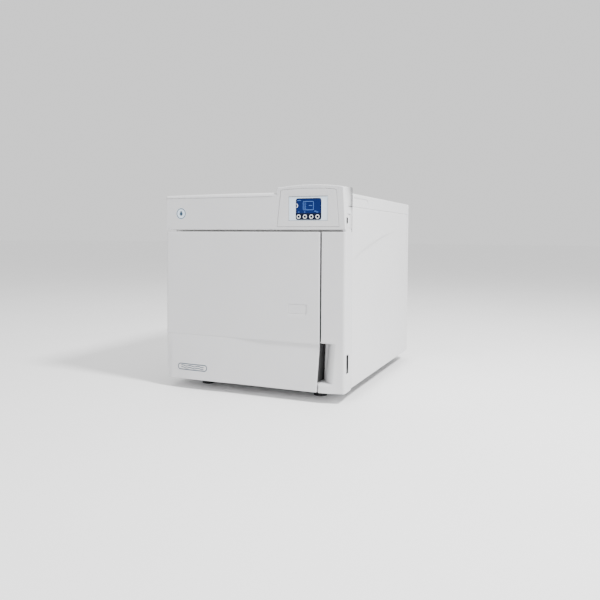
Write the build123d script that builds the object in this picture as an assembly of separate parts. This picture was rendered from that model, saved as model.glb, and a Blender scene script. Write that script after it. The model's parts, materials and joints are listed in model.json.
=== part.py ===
"""Benchtop steam autoclave with a hinged door, a lock, control keys, a fan and a tank lid.

Millimetres. X runs to the right, Y to the rear and Z up. The origin is on the floor,
under the middle of the cabinet.
"""

from build123d import *
import math
import os

# Cabinet
HALF_WIDTH = 240.0
FRONT_Y = -300.0
REAR_Y = 300.0
FOOT_HEIGHT = 24.0
SHEET = 2.0
MOULDING_WALL = 3.0
PARTING_GAP = 0.6

# Heights
BODY_BOTTOM = FOOT_HEIGHT
DOOR_TOP = 391.7
FASCIA_BOTTOM = 396.0
COVER_SEAM = 450.5
SHOULDER_Z = 481.0
CROWN_Z = 483.5

# Front bulkhead and the mouldings in front of it
PLATE_FRONT = -256.0
PLATE_THICKNESS = 3.0
PLATE_REAR = PLATE_FRONT + PLATE_THICKNESS
MOULDING_REAR = PLATE_FRONT - 0.4
COVER_FRONT = -254.6

# Door
DOOR_LEFT = -HALF_WIDTH
DOOR_RIGHT = 177.6
DOOR_REAR = -262.8
CREASE_Z = 134.0
CREASE_STEP = 2.0
DOOR_LEAN = 16.0
DOOR_CORNER = 6.0
CAP_X = (99.4, 143.4)
CAP_Z = (202.0, 222.5)
CAP_GAP = 0.4
HINGE_X = -221.0
HINGE_Y = -279.0
HINGE_SWEEP_R = 19.0
HINGE_PIN_R = 5.0
HINGE_BUSH_R = 6.5
KNUCKLE_R = 9.0
KNUCKLES = [(110.0, 150.0), (322.0, 362.0)]
BRACKET_DEPTH = 11.7
BRACKET_GAP = 0.3

# Pillar
PILLAR_LEFT = 181.6
PILLAR_LEAN_Z = 150.0
PILLAR_LEAN = 13.0
PILLAR_CORNER = 7.0
RECESS = (45.3, 136.6)
RECESS_DEEP_X = 192.0
RECESS_END_X = 214.0
RECESS_DEPTH = 30.0

# Control hump and display
HUMP_LEFT = 66.0
HUMP_TOP = 500.0
WINDOW_X = (98.8, 196.0)
WINDOW_Z = (417.0, 473.5)
LCD_X = (118.0, 178.5)
LCD_Z = (433.8, 468.0)
KEY_Z = 426.4
KEY_X = [123.9, 139.5, 155.1, 170.5]
KEY_R = 6.3
KEY_FLANGE_R = 7.2
KEY_CLEARANCE = 0.3
KEY_FRONT = -299.7
FACE_FRONT = -300.0
FACE_REAR = -297.0
LABEL_FRONT = -299.2
LABEL_REAR = -298.4

# Chamber
CHAMBER_X = -40.0
CHAMBER_Z = 235.0
CHAMBER_R = 125.0
CHAMBER_WALL = 2.0
CHAMBER_BACK = 88.0
CHAMBER_DOME = 28.0
FLANGE_R = 155.0
FLANGE_FRONT = -262.0
BOLT_CIRCLE_R = 146.5
BOLT_COUNT = 8
BOLT_R = 3.0
DRAIN_PORT_Y = -150.0
JACKET_INNER_R = 131.0
JACKET_OUTER_R = 150.0
PORT_R = 6.0
VALVE_Y = 40.0

# Air filter
FILTER_X = 148.0
FILTER_Z = 335.0
FILTER_R = 26.0

# Rack and trays
TRAY_COUNT = 5
TRAY_PITCH = 27.0
TRAY_HALF_WIDTH = 92.0
TRAY_FRONT = -240.0
TRAY_BACK = 50.0
TRAY_RIM = 9.0
TRAY_SHEET = 1.0
RACK_HALF_WIDTH = 95.5
RACK_SHEET = 1.5
RAIL_REACH = 10.0

# Lock
LOCK_Z = 212.0
LOCK_Y = -278.0
LOCK_BOLT_R = 6.0
LOCK_BOLT_X = (183.4, 212.0)
CATCH_X = (160.0, 173.4)
CATCH_HOLE = 6.6

# Mains rocker switch
ROCKER_Z = 90.0
ROCKER_Y = -282.7
ROCKER_PIVOT_X = 232.0
ROCKER_TILT = 10.0
SWITCH_HALF_HEIGHT = 21.5
SWITCH_HALF_WIDTH = 7.7

# Data socket
USB_Y = -284.6
USB_Z = 417.5

# Fan and condenser
FAN_X = 140.0
FAN_Z = 170.0
FAN_HALF = 60.0
FAN_FRONT = 272.0
FAN_REAR = 297.0
FAN_BLADES = 7

# Tank and lid
TANK_X = 215.0
TANK_Y = (150.0, 285.0)
TANK_Z = (262.0, 474.0)
TANK_WALL = 3.0
LID_X = 188.0
LID_Y = (155.0, 280.0)
LID_GAP = 0.8
LID_PIN_Y = 287.0
LID_PIN_Z = CROWN_Z + 4.2
LID_PIN_R = 1.5

# Steam generator
STEAM_X = 178.0
STEAM_Y = 70.0
STEAM_TOP = 220.0

# Rear interfaces
INLET_X = -190.0
INLET_Z = 200.0
DRAIN_X = -120.0
DRAIN_Z = 82.0
DRAIN_R = 5.0

# Feet and cover screws
FOOT_X = 156.0
FOOT_Y = 232.0
COVER_SCREWS = [(x, z) for z in (50, 235, 430) for x in (-228, 0, 228)]


def block(x, y, z):
    """Box between the low and high value on each axis."""
    spans = (x, y, z)
    size = [high - low for low, high in spans]
    middle = [(high + low) / 2 for low, high in spans]
    return Pos(*middle) * Box(*size)


def rod_x(y, z, radius, span):
    """Cylinder along X."""
    low, high = span
    return Pos((low + high) / 2, y, z) * Rot(0, 90, 0) * Cylinder(radius, high - low)


def rod_y(x, z, radius, span):
    """Cylinder along Y."""
    low, high = span
    return Pos(x, (low + high) / 2, z) * Rot(90, 0, 0) * Cylinder(radius, high - low)


def rod_z(x, y, radius, span):
    """Cylinder along Z."""
    low, high = span
    return Pos(x, y, (low + high) / 2) * Cylinder(radius, high - low)


def prism_x(points, span):
    """Solid with an outline of (y, z) points, extruded along X over the span."""
    outline = Polyline(*[(span[0], y, z) for y, z in points], close=True)
    return extrude(make_face(outline), amount=span[1] - span[0], dir=(1, 0, 0))


def prism_y(points, span):
    """Solid with an outline of (x, z) points, extruded along Y over the span."""
    outline = Polyline(*[(x, span[0], z) for x, z in points], close=True)
    return extrude(make_face(outline), amount=span[1] - span[0], dir=(0, 1, 0))


def turned(points, x=CHAMBER_X, z=CHAMBER_Z):
    """Solid of revolution about a line along Y, from (radius, y) points."""
    outline = make_face(Polyline(*points, close=True))
    return Pos(x, 0, z) * revolve(outline, Axis.Y)


def on_circle(count, radius, x, z, start=0.0):
    """Evenly spaced (x, z) places on a circle."""
    angles = [math.radians(start + 360.0 * i / count) for i in range(count)]
    return [(x + radius * math.cos(a), z + radius * math.sin(a)) for a in angles]


def flange_bolts():
    """(x, z) places of the bolts that hold the chamber flange."""
    return on_circle(BOLT_COUNT, BOLT_CIRCLE_R, CHAMBER_X, CHAMBER_Z, 180 / BOLT_COUNT)


def joined(pieces):
    """All the pieces fused to one solid."""
    whole = pieces[0]
    for piece in pieces[1:]:
        whole = whole + piece
    return whole


def group(pieces):
    """Separate solids kept together in one node."""
    return Compound(children=[solid for piece in pieces for solid in piece.solids()])


# ---------------------------------------------------------------- cabinet


def feet():
    pads = []
    for x in (-FOOT_X, FOOT_X):
        for y in (-FOOT_Y, FOOT_Y):
            pad = Pos(x, y, FOOT_HEIGHT / 2) * Cone(16, 19, FOOT_HEIGHT)
            pad -= rod_z(x, y, 7.0, (0, 8.0))
            pads.append(pad - rod_z(x, y, 3.1, (8.0, FOOT_HEIGHT)))
    return group(pads)


def foot_screws():
    screws = []
    for x in (-FOOT_X, FOOT_X):
        for y in (-FOOT_Y, FOOT_Y):
            head = rod_z(x, y, 5.5, (4.0, 8.0))
            screws.append(head + rod_z(x, y, 3.0, (8.0, 34.0)))
    return group(screws)


def base_pan():
    outer = block((-234, 234), (PLATE_REAR, 297), (BODY_BOTTOM, 64))
    inner = block((-232, 232), (PLATE_REAR + SHEET, 295), (BODY_BOTTOM + SHEET, 65))
    pan = outer - inner
    for x in (-FOOT_X, FOOT_X):
        for y in (-FOOT_Y, FOOT_Y):
            pan -= rod_z(x, y, 3.1, (BODY_BOTTOM - 1, BODY_BOTTOM + SHEET + 1))
    for row in range(6):
        y = -120 + 40 * row
        pan -= block((-40, 100), (y, y + 6), (BODY_BOTTOM - 1, BODY_BOTTOM + SHEET + 1))
    for x, z in COVER_SCREWS:
        pan -= rod_y(x, z, 2.2, (290, 299))
    return pan


def front_plate():
    plate = block((-236, 236), (PLATE_FRONT, PLATE_REAR), (26, 449))
    plate -= rod_y(CHAMBER_X, CHAMBER_Z, CHAMBER_R + CHAMBER_WALL + 1, (-260, -250))
    plate -= rod_y(FILTER_X, FILTER_Z, FILTER_R + 1, (-260, -250))
    for x, z in flange_bolts():
        plate -= rod_y(x, z, BOLT_R + 0.2, (-260, -250))
    return plate


def side_panel(side):
    """Cover with a swept crease: under the crease the face starts 1.8 mm deeper."""
    panel = block((237, HALF_WIDTH), (COVER_FRONT, 279.6), (29, COVER_SEAM - PARTING_GAP))
    crease = ThreePointArc((236, -245, 328), (236, -59, 370), (236, 171, 398))
    below = Polyline((236, 171, 398), (236, 171, 40), (236, -245, 40), (236, -245, 328))
    region = extrude(make_face([crease, below]), amount=6, dir=(1, 0, 0))
    hollow = prism_y([(241, 60), (HALF_WIDTH, 60), (238.2, 398), (241, 398)], (-246, 172))
    panel -= region & hollow
    panel = fillet(panel.edges().filter_by(Axis.Z).group_by(Axis.X)[-1].group_by(Axis.Y)[0], 1.2)
    return panel if side > 0 else mirror(panel, about=Plane.YZ)


def crowned_prism(half_width, bottom, drop, y):
    """Prism along Y with a slightly arched top, inset from the outer skin by drop."""
    left = (-half_width, y[0], bottom)
    shoulder_left = (-half_width, y[0], SHOULDER_Z - drop)
    shoulder_right = (half_width, y[0], SHOULDER_Z - drop)
    right = (half_width, y[0], bottom)
    top = ThreePointArc(shoulder_left, (0, y[0], CROWN_Z - drop), shoulder_right)
    sides = [Line(left, shoulder_left), Line(shoulder_right, right), Line(right, left)]
    return extrude(make_face([top, *sides]), amount=y[1] - y[0], dir=(0, 1, 0))


def top_shell():
    """The whole crowned cover, before the lid is cut out of it."""
    skin = 2.5
    outer = crowned_prism(HALF_WIDTH, COVER_SEAM, 0, (COVER_FRONT, REAR_Y))
    inner = crowned_prism(HALF_WIDTH - skin, COVER_SEAM - 1, skin, (COVER_FRONT - 1, REAR_Y - skin))
    shoulders = [
        edge
        for edge in outer.edges().filter_by(Axis.Y)
        if abs(edge.center().Z - SHOULDER_Z) < 1
    ]
    return fillet(shoulders, 5.0) - inner


def grip_recess(side):
    """Shallow finger grip in the side of the top cover."""
    pocket = block((238.8, 242), (-245, -141), (453, 472))
    pocket += rod_x(-141, 462.5, 9.5, (238.8, 242))
    return pocket if side > 0 else mirror(pocket, about=Plane.YZ)


def top_cover():
    cover = top_shell()
    cover -= block((-LID_X, LID_X), LID_Y, (470, 500))
    cover = cover - grip_recess(1) - grip_recess(-1)
    for low in (-132.0, 108.0):
        barrel = rod_x(LID_PIN_Y, LID_PIN_Z, 4.0, (low, low + 10))
        barrel += block((low, low + 10), (LID_PIN_Y, 293), (CROWN_Z - 5, LID_PIN_Z + 4))
        barrel -= block((low - 1, low + 11), (280, 300), (CROWN_Z - 10, CROWN_Z - 2.2))
        cover += barrel - rod_x(LID_PIN_Y, LID_PIN_Z, LID_PIN_R + 0.05, (low - 1, low + 11))
    return cover


def tank_lid():
    """Flap cut from the crown, with moulded hinge pins and a thumb lip at the front."""
    width = (-LID_X + LID_GAP, LID_X - LID_GAP)
    length = (LID_Y[0] + LID_GAP, LID_Y[1] - LID_GAP)
    lid = top_shell() & block(width, length, (470, 500))
    lid += block((-30, 30), (LID_Y[0] + 6, LID_Y[0] + 10), (CROWN_Z - 8.5, CROWN_Z - 1.5))
    for low, high in ((-121.6, -105), (91, 107.6)):
        arm = block((low, high), (272, LID_PIN_Y), (CROWN_Z - 2, LID_PIN_Z + 2))
        arm -= block((low - 1, high + 1), (280 - LID_GAP, 300), (CROWN_Z - 10, CROWN_Z + 0.5))
        arm += rod_x(LID_PIN_Y, LID_PIN_Z, 3.4, (low, high))
        lid += arm
    lid += rod_x(LID_PIN_Y, LID_PIN_Z, LID_PIN_R, (-131, -120))
    lid += rod_x(LID_PIN_Y, LID_PIN_Z, LID_PIN_R, (106, 117))
    return lid


def rear_panel():
    panel = block((-HALF_WIDTH, HALF_WIDTH), (280, REAR_Y), (29, COVER_SEAM - PARTING_GAP))
    panel -= block((-238, 238), (279, REAR_Y - SHEET), (28, 460))
    for column in range(9):
        x = FAN_X - 44 + 11 * column
        reach = math.sqrt(50.0**2 - (x - FAN_X) ** 2)
        panel -= block((x - 2.5, x + 2.5), (295, 302), (FAN_Z - reach, FAN_Z + reach))
    for row in range(8):
        z = 330 + 11 * row
        panel -= block((-200, -110), (295, 302), (z, z + 4))
        panel -= block((110, 200), (295, 302), (z, z + 4))
    panel -= block((INLET_X - 14, INLET_X + 14), (295, 302), (INLET_Z - 10.5, INLET_Z + 10.5))
    panel -= rod_y(DRAIN_X, DRAIN_Z, 8.2, (295, 302))
    for x, z in COVER_SCREWS:
        panel -= rod_y(x, z, 2.2, (295, 302))
    return panel


def cover_screws():
    screws = []
    for x, z in COVER_SCREWS:
        head = rod_y(x, z, 4.0, (REAR_Y, REAR_Y + 2.4))
        head -= block((x - 3, x + 3), (REAR_Y + 1.2, REAR_Y + 3), (z - 0.5, z + 0.5))
        head -= block((x - 0.5, x + 0.5), (REAR_Y + 1.2, REAR_Y + 3), (z - 3, z + 3))
        screws.append(head + rod_y(x, z, 2.0, (REAR_Y - 10, REAR_Y)))
    return group(screws)


# ---------------------------------------------------------------- front mouldings


def hump(inset, y):
    """Raised block that carries the controls."""
    low = (HUMP_LEFT + inset, y[0], FASCIA_BOTTOM + inset)
    left = (HUMP_LEFT + 4 + inset, y[0], HUMP_TOP - 6 - inset)
    right = (HALF_WIDTH - 6.5 - inset, y[0], HUMP_TOP - 7 - inset)
    base = (HALF_WIDTH - inset, y[0], FASCIA_BOTTOM + inset)
    top = ThreePointArc(left, (152, y[0], HUMP_TOP - inset), right)
    sides = [Line(low, left), Line(right, base), Line(base, low)]
    return extrude(make_face([top, *sides]), amount=y[1] - y[0], dir=(0, 1, 0))


def face_outline(grow, y):
    """Prism with the trapezoid outline of the control face plate."""
    low_left = (69.5 - grow, y[0], 403.5 - grow)
    top_left = (79.0 - grow, y[0], 488.0 + grow)
    top_right = (216.0 + grow, y[0], 486.0 + grow)
    low_right = (223.0 + grow, y[0], 403.5 - grow)
    top = ThreePointArc(top_left, (148, y[0], 491.0 + grow), top_right)
    sides = [Line(low_left, top_left), Line(top_right, low_right), Line(low_right, low_left)]
    return extrude(make_face([top, *sides]), amount=y[1] - y[0], dir=(0, 1, 0))


def front_fascia():
    span = (FRONT_Y, MOULDING_REAR)
    crown = crowned_prism(HALF_WIDTH, FASCIA_BOTTOM, 0, span)
    front_top = [
        edge
        for edge in crown.edges()
        if edge.center().Z > SHOULDER_Z and abs(edge.center().Y - FRONT_Y) < 0.1
    ]
    crown = fillet(front_top, 6.0)
    crown -= block((HUMP_LEFT + 40, 300), (-310, -250), (390, 510))
    raised = hump(0, span)
    raised = fillet(raised.edges().filter_by(Axis.Y).group_by(Axis.Z)[-1], 4.0)
    fascia = crown + raised
    fascia -= block((-237, HUMP_LEFT - 1), (FRONT_Y + 3, -250), (399, 477))
    fascia -= hump(MOULDING_WALL + 1, (-293, -250))
    fascia -= face_outline(0.8, (FRONT_Y - 1, FACE_REAR))
    fascia -= block((82, 212), (FACE_REAR - 1, -292), (410, 478))
    fascia -= block((226, 242), (USB_Y - 3.1, USB_Y + 3.1), (USB_Z - 7, USB_Z + 7))
    return fascia - block((238.5, 242), (-291, -266), (401, 433))


def control_face_plate():
    plate = face_outline(0, (FACE_FRONT, FACE_REAR))
    plate -= block(WINDOW_X, (FACE_FRONT - 1, LABEL_REAR), WINDOW_Z)
    plate -= block(
        (LCD_X[0] - 0.3, LCD_X[1] + 0.3), (-301, -296), (LCD_Z[0] - 0.3, LCD_Z[1] + 0.3)
    )
    for x in KEY_X:
        plate -= rod_y(x, KEY_Z, KEY_R + KEY_CLEARANCE, (-301, -296))
    return plate


def display_overlay():
    label = block(WINDOW_X, (LABEL_FRONT, LABEL_REAR), WINDOW_Z)
    label -= block(
        (LCD_X[0] - 0.3, LCD_X[1] + 0.3), (-301, -296), (LCD_Z[0] - 0.3, LCD_Z[1] + 0.3)
    )
    for x in KEY_X:
        label -= rod_y(x, KEY_Z, KEY_R + KEY_CLEARANCE, (-301, -296))
    return label


def lcd_module():
    glass = block(LCD_X, (-298.9, FACE_REAR), LCD_Z)
    frame = block((LCD_X[0] - 5, LCD_X[1] + 5), (FACE_REAR, -291), (LCD_Z[0] + 0.4, LCD_Z[1] + 5))
    return glass + frame


def key(x):
    """Push key: cap, retaining flange behind the plate and a stem towards its switch."""
    cap = rod_y(x, KEY_Z, KEY_R, (KEY_FRONT, FACE_REAR + 0.2))
    edges = cap.edges().filter_by(GeomType.CIRCLE).group_by(Axis.Y)[0]
    cap = fillet(edges, 0.5)
    flange = rod_y(x, KEY_Z, KEY_FLANGE_R, (FACE_REAR + 0.2, FACE_REAR + 1.4))
    return cap + flange + rod_y(x, KEY_Z, 2.0, (FACE_REAR + 1.4, -292.4))


def control_pcb():
    board = block((84, 210), (-287, -285.4), (412, 477))
    for x in KEY_X:
        board += block((x - 3, x + 3), (-290, -287), (KEY_Z - 3, KEY_Z + 3))
        board += rod_y(x, KEY_Z, 1.6, (-291.2, -290))
    board += block((120, 150), (-285.4, -282), (440, 470))
    board += block((160, 200), (-285.4, -276), (416, 424))
    for x in (88, 206):
        for z in (416, 473):
            board -= rod_y(x, z, 1.6, (-290, -283))
    return board


def usb_socket():
    body = block((218, 238), (USB_Y - 2.9, USB_Y + 2.9), (USB_Z - 6.6, USB_Z + 6.6))
    return body - block((224, 240), (USB_Y - 2.4, USB_Y + 2.4), (USB_Z - 6.1, USB_Z + 6.1))


def pillar_section(z, lean, inset):
    """Plan outline of the pillar at one height."""
    left, right = PILLAR_LEFT + inset, HALF_WIDTH - inset
    front = FRONT_Y - lean + inset
    radius = PILLAR_CORNER - inset
    corner = RadiusArc((right - radius, front, z), (right, front + radius, z), -radius)
    outline = [
        corner,
        Line((right, front + radius, z), (right, MOULDING_REAR, z)),
        Line((right, MOULDING_REAR, z), (left, MOULDING_REAR, z)),
        Line((left, MOULDING_REAR, z), (left, front, z)),
        Line((left, front, z), (right - radius, front, z)),
    ]
    return make_face(outline)


def pillar_body(inset):
    """Pillar blank, straight above the lean line and leaning forward below it."""
    top = extrude(
        pillar_section(PILLAR_LEAN_Z, 0, inset), amount=DOOR_TOP - inset - PILLAR_LEAN_Z
    )
    low = BODY_BOTTOM + inset
    foot = pillar_section(low, PILLAR_LEAN, inset)
    return top + loft([foot, pillar_section(PILLAR_LEAN_Z, 0, inset)], ruled=True)


def recess_cut(wall):
    """Finger recess: a deep slot beside the door that ramps out to the pillar's face."""
    low, high = RECESS
    y_deep = FRONT_Y + RECESS_DEPTH + wall
    outline = [
        (PILLAR_LEFT - 5, -330),
        (PILLAR_LEFT - 5, y_deep),
        (RECESS_DEEP_X + wall, y_deep),
        (RECESS_DEEP_X + wall + 2, y_deep - 12),
        (RECESS_END_X + wall, FRONT_Y + 2),
        (RECESS_END_X + wall, -330),
    ]
    edge = Polyline(*[(x, y, low - wall) for x, y in outline], close=True)
    return extrude(make_face(edge), amount=high - low + 2 * wall, dir=(0, 0, 1))


def switch_pocket(grow, depth):
    """Cut for the rocker switch in the pillar's right side."""
    return block(
        (HALF_WIDTH - depth, HALF_WIDTH + 2),
        (ROCKER_Y - SWITCH_HALF_WIDTH - grow, ROCKER_Y + SWITCH_HALF_WIDTH + grow),
        (ROCKER_Z - SWITCH_HALF_HEIGHT - grow, ROCKER_Z + SWITCH_HALF_HEIGHT + grow),
    )


def front_pillar():
    cavity = pillar_body(MOULDING_WALL)
    cavity += block(
        (PILLAR_LEFT + MOULDING_WALL, HALF_WIDTH - MOULDING_WALL),
        (-270, -250),
        (BODY_BOTTOM + MOULDING_WALL, DOOR_TOP - MOULDING_WALL),
    )
    cavity -= recess_cut(2.5)
    pillar = pillar_body(0) - cavity - recess_cut(0)
    pillar -= switch_pocket(0, 10)
    return pillar - rod_x(LOCK_Y, LOCK_Z, LOCK_BOLT_R + 0.5, (PILLAR_LEFT - 1, PILLAR_LEFT + 4))


def power_switch_housing():
    body = switch_pocket(0, 20) & block((0, HALF_WIDTH - 0.4), (-400, 0), (0, 400))
    well = block(
        (HALF_WIDTH - 18, HALF_WIDTH + 1),
        (ROCKER_Y - 6.4, ROCKER_Y + 6.4),
        (ROCKER_Z - 20, ROCKER_Z + 20),
    )
    body -= well
    return body - rod_y(ROCKER_PIVOT_X, ROCKER_Z, 1.56, (ROCKER_Y - 9, ROCKER_Y + 9))


def power_rocker():
    """Rocker with its pins, resting tipped to one side."""
    outline = [(-4, -18.4), (4.6, -18.4), (1.8, 0), (4.6, 18.4), (-4, 18.4), (-6, 0)]
    span = (ROCKER_Y - 6.1, ROCKER_Y + 6.1)
    body = prism_y(outline, span)
    body += rod_y(0, 0, 1.5, (ROCKER_Y - 7.5, ROCKER_Y + 7.5))
    return Pos(ROCKER_PIVOT_X, 0, ROCKER_Z) * Rot(0, -ROCKER_TILT, 0) * body


# ---------------------------------------------------------------- door


def door_section(z, inset, lean):
    """Plan outline of the door at one height; lean says how far its face bulges."""
    left, right = DOOR_LEFT + inset, DOOR_RIGHT - inset
    corner = DOOR_CORNER - inset
    sweep = HINGE_SWEEP_R - inset
    side_front = FRONT_Y + DOOR_CORNER
    face = FRONT_Y + inset
    rear = DOOR_REAR
    meet_x = HINGE_X - math.sqrt(max(0.0, sweep**2 - (rear - HINGE_Y) ** 2))
    half_turn = (math.pi + math.atan2(rear - HINGE_Y, meet_x - HINGE_X)) / 2
    mid = (HINGE_X + sweep * math.cos(half_turn), HINGE_Y + sweep * math.sin(half_turn), z)
    start = (left + corner, face, z)
    bulge = [(-221, 0.62), (-185, 0.9), (-120, 1.0), (-41, 0.75), (60, 0.62)]
    through = [(x, face - share * lean, z) for x, share in bulge]
    end = (right, face - 0.58 * lean, z)
    if lean:
        front = Spline(start, *through, end)
    else:
        front = Line(start, end)
    outline = [
        front,
        Line(end, (right, rear, z)),
        Line((right, rear, z), (meet_x, rear, z)),
        ThreePointArc((meet_x, rear, z), mid, (left, HINGE_Y, z)),
        Line((left, HINGE_Y, z), (left, side_front, z)),
        RadiusArc((left, side_front, z), start, corner),
    ]
    return make_face(outline)


def door_body(inset):
    """Door blank: flat above the crease, bulging out below it."""
    upper = extrude(
        door_section(CREASE_Z, inset, 0), amount=DOOR_TOP - inset - CREASE_Z, dir=(0, 0, 1)
    )
    low = BODY_BOTTOM + inset
    crease = door_section(CREASE_Z, inset + CREASE_STEP, 0)
    lower = loft([door_section(low, inset + CREASE_STEP, DOOR_LEAN), crease], ruled=True)
    return upper + lower


def hinge_slots():
    """Slots that let the hinge brackets into the rounded hinge edge of the door."""
    slots = []
    for low, high in KNUCKLES:
        slots.append(block((-245, -170), (HINGE_Y + 3, -255), (low - 22, high + 2)))
    return joined(slots)


def bolt_hole(span, half):
    """Square hole on the lock bolt's axis."""
    return block(span, (LOCK_Y - half, LOCK_Y + half), (LOCK_Z - half, LOCK_Z + half))


def door_outer_shell():
    cavity = door_body(MOULDING_WALL)
    heights = (BODY_BOTTOM + MOULDING_WALL, DOOR_TOP - MOULDING_WALL)
    cavity += block((-226, DOOR_RIGHT - MOULDING_WALL), (-280, -250), heights)
    shell = door_body(0) - cavity - hinge_slots()
    shell -= bolt_hole((DOOR_RIGHT - 5, DOOR_RIGHT + 2), CATCH_HOLE + 0.9)
    cap_x = (CAP_X[0] - CAP_GAP, CAP_X[1] + CAP_GAP)
    return shell - block(cap_x, (-302, -295), (CAP_Z[0] - CAP_GAP, CAP_Z[1] + CAP_GAP))


def door_access_cap():
    cap = block(CAP_X, (FRONT_Y, FRONT_Y + 2.4), CAP_Z)
    cap = fillet(cap.edges().filter_by(Axis.Y), 1.5)
    clip_z = (CAP_Z[0] + 2.6, CAP_Z[1] - 2.6)
    return cap + block((CAP_X[0] + 2.6, CAP_X[1] - 2.6), (FRONT_Y + 2.4, FRONT_Y + 7), clip_z)


def door_inner_cover():
    cover = block((-172, 174), (-265, DOOR_REAR), (28, 388))
    return cover - rod_y(CHAMBER_X, CHAMBER_Z, 149, (-270, -260))


def door_frame():
    """Welded steel arm: hinge knuckles, an upright and a cross bar with a threaded boss."""
    plate_y = (-287, -281)
    upright = block((-206, -160), plate_y, (100, 370))
    bar = block((-206, 159.8), plate_y, (200, 270))
    boss = rod_y(CHAMBER_X, CHAMBER_Z, 22, (-291, -277))
    frame = upright + bar + boss
    for low, high in KNUCKLES:
        knuckle = rod_z(HINGE_X, HINGE_Y, KNUCKLE_R, (low, high))
        knuckle += block((HINGE_X, -205), (-287, -282), (low, high))
        frame += knuckle - rod_z(HINGE_X, HINGE_Y, HINGE_BUSH_R, (low - 1, high + 1))
    return frame - rod_y(CHAMBER_X, CHAMBER_Z, 8, (-295, -270))


def door_adjusting_screw():
    screw = rod_y(CHAMBER_X, CHAMBER_Z, 8, (-294, -270))
    hexagon = Pos(CHAMBER_X, -294, CHAMBER_Z) * Rot(90, 0, 0) * RegularPolygon(5, 6)
    return screw - extrude(hexagon, amount=-5, dir=(0, -1, 0))


def door_disc():
    plate = rod_y(CHAMBER_X, CHAMBER_Z, 146, (-270, -264))
    hub = rod_y(CHAMBER_X, CHAMBER_Z, 24, (-276.8, -270))
    disc = plate + hub
    for turn in range(6):
        rib = block((26, 138), (-276, -270), (-3, 3))
        disc += Pos(CHAMBER_X, 0, CHAMBER_Z) * Rot(0, 60 * turn + 30, 0) * rib
    return disc - rod_y(CHAMBER_X, CHAMBER_Z, 8, (-280, -270))


def door_gasket():
    """Rubber ring that meets the chamber flange."""
    section = [(129, -264), (129, -262.6), (131, -262.3), (136, -262.3), (138, -262.6), (138, -264)]
    return turned(section)


def door_catch():
    """Keeper with a square hole for the lock bolt."""
    catch = block(CATCH_X, (-290, -266), (LOCK_Z - 12, LOCK_Z + 12))
    return catch - bolt_hole((CATCH_X[0] - 1, CATCH_X[1] + 1), CATCH_HOLE)


def hinge_bracket(low):
    """Eye on an arm that slants back to a foot on the front plate."""
    span = (low - BRACKET_GAP - BRACKET_DEPTH, low - BRACKET_GAP)
    eye = rod_z(HINGE_X, HINGE_Y, KNUCKLE_R, span)
    middle = (span[0] + span[1]) / 2
    reach = Box(29, 9, BRACKET_DEPTH)
    arm = Pos(HINGE_X, HINGE_Y, middle) * Rot(0, 0, 43.7) * Pos(14.5, 0, 0) * reach
    foot = block((-206, -184), (-260, PLATE_FRONT), (span[0] - 8, span[1] + 8))
    arm &= block((-260, -150), (-300, -258), (0, 500))
    bracket = eye + arm + foot
    return bracket - rod_z(HINGE_X, HINGE_Y, HINGE_PIN_R + 0.03, (span[0] - 1, span[1] + 1))


def hinge_brackets():
    return group([hinge_bracket(low) for low, high in KNUCKLES])


def hinge_pins():
    pins = []
    for low, high in KNUCKLES:
        span = (low - BRACKET_GAP - BRACKET_DEPTH, high)
        pins.append(rod_z(HINGE_X, HINGE_Y, HINGE_PIN_R, span))
    return group(pins)


def hinge_bushes():
    bushes = []
    for low, high in KNUCKLES:
        bush = rod_z(HINGE_X, HINGE_Y, HINGE_BUSH_R, (low, high))
        bushes.append(bush - rod_z(HINGE_X, HINGE_Y, HINGE_PIN_R + 0.05, (low - 1, high + 1)))
    return group(bushes)


def lock_actuator():
    guide = block((189, 214), (LOCK_Y - 10, LOCK_Y + 10), (LOCK_Z - 10, LOCK_Z + 10))
    guide -= rod_x(LOCK_Y, LOCK_Z, LOCK_BOLT_R + 0.05, (188, 213))
    motor = block((214, 234), (-290, -262), (LOCK_Z - 25, LOCK_Z + 30))
    foot = block((200, 234), (-262, -258), (LOCK_Z - 40, LOCK_Z + 40))
    web = block((200, 214), (LOCK_Y + 10, -262), (LOCK_Z - 10, LOCK_Z + 10))
    return guide + motor + foot + web


def lock_bolt():
    bolt = rod_x(LOCK_Y, LOCK_Z, LOCK_BOLT_R, LOCK_BOLT_X)
    return chamfer(bolt.edges().filter_by(GeomType.CIRCLE).group_by(Axis.X)[0], 1.2)


# ---------------------------------------------------------------- chamber


def dished(radius, front, knuckle_y, depth):
    """Edges of a turned vessel outline that ends in a shallow elliptical dome."""
    steps = 6
    points = [(radius, front), (radius, knuckle_y)]
    for step in range(1, steps + 1):
        angle = math.pi / 2 * step / steps
        points.append((radius * math.cos(angle), knuckle_y + depth * math.sin(angle)))
    points[-1] = (0, knuckle_y + depth)
    return points


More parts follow.
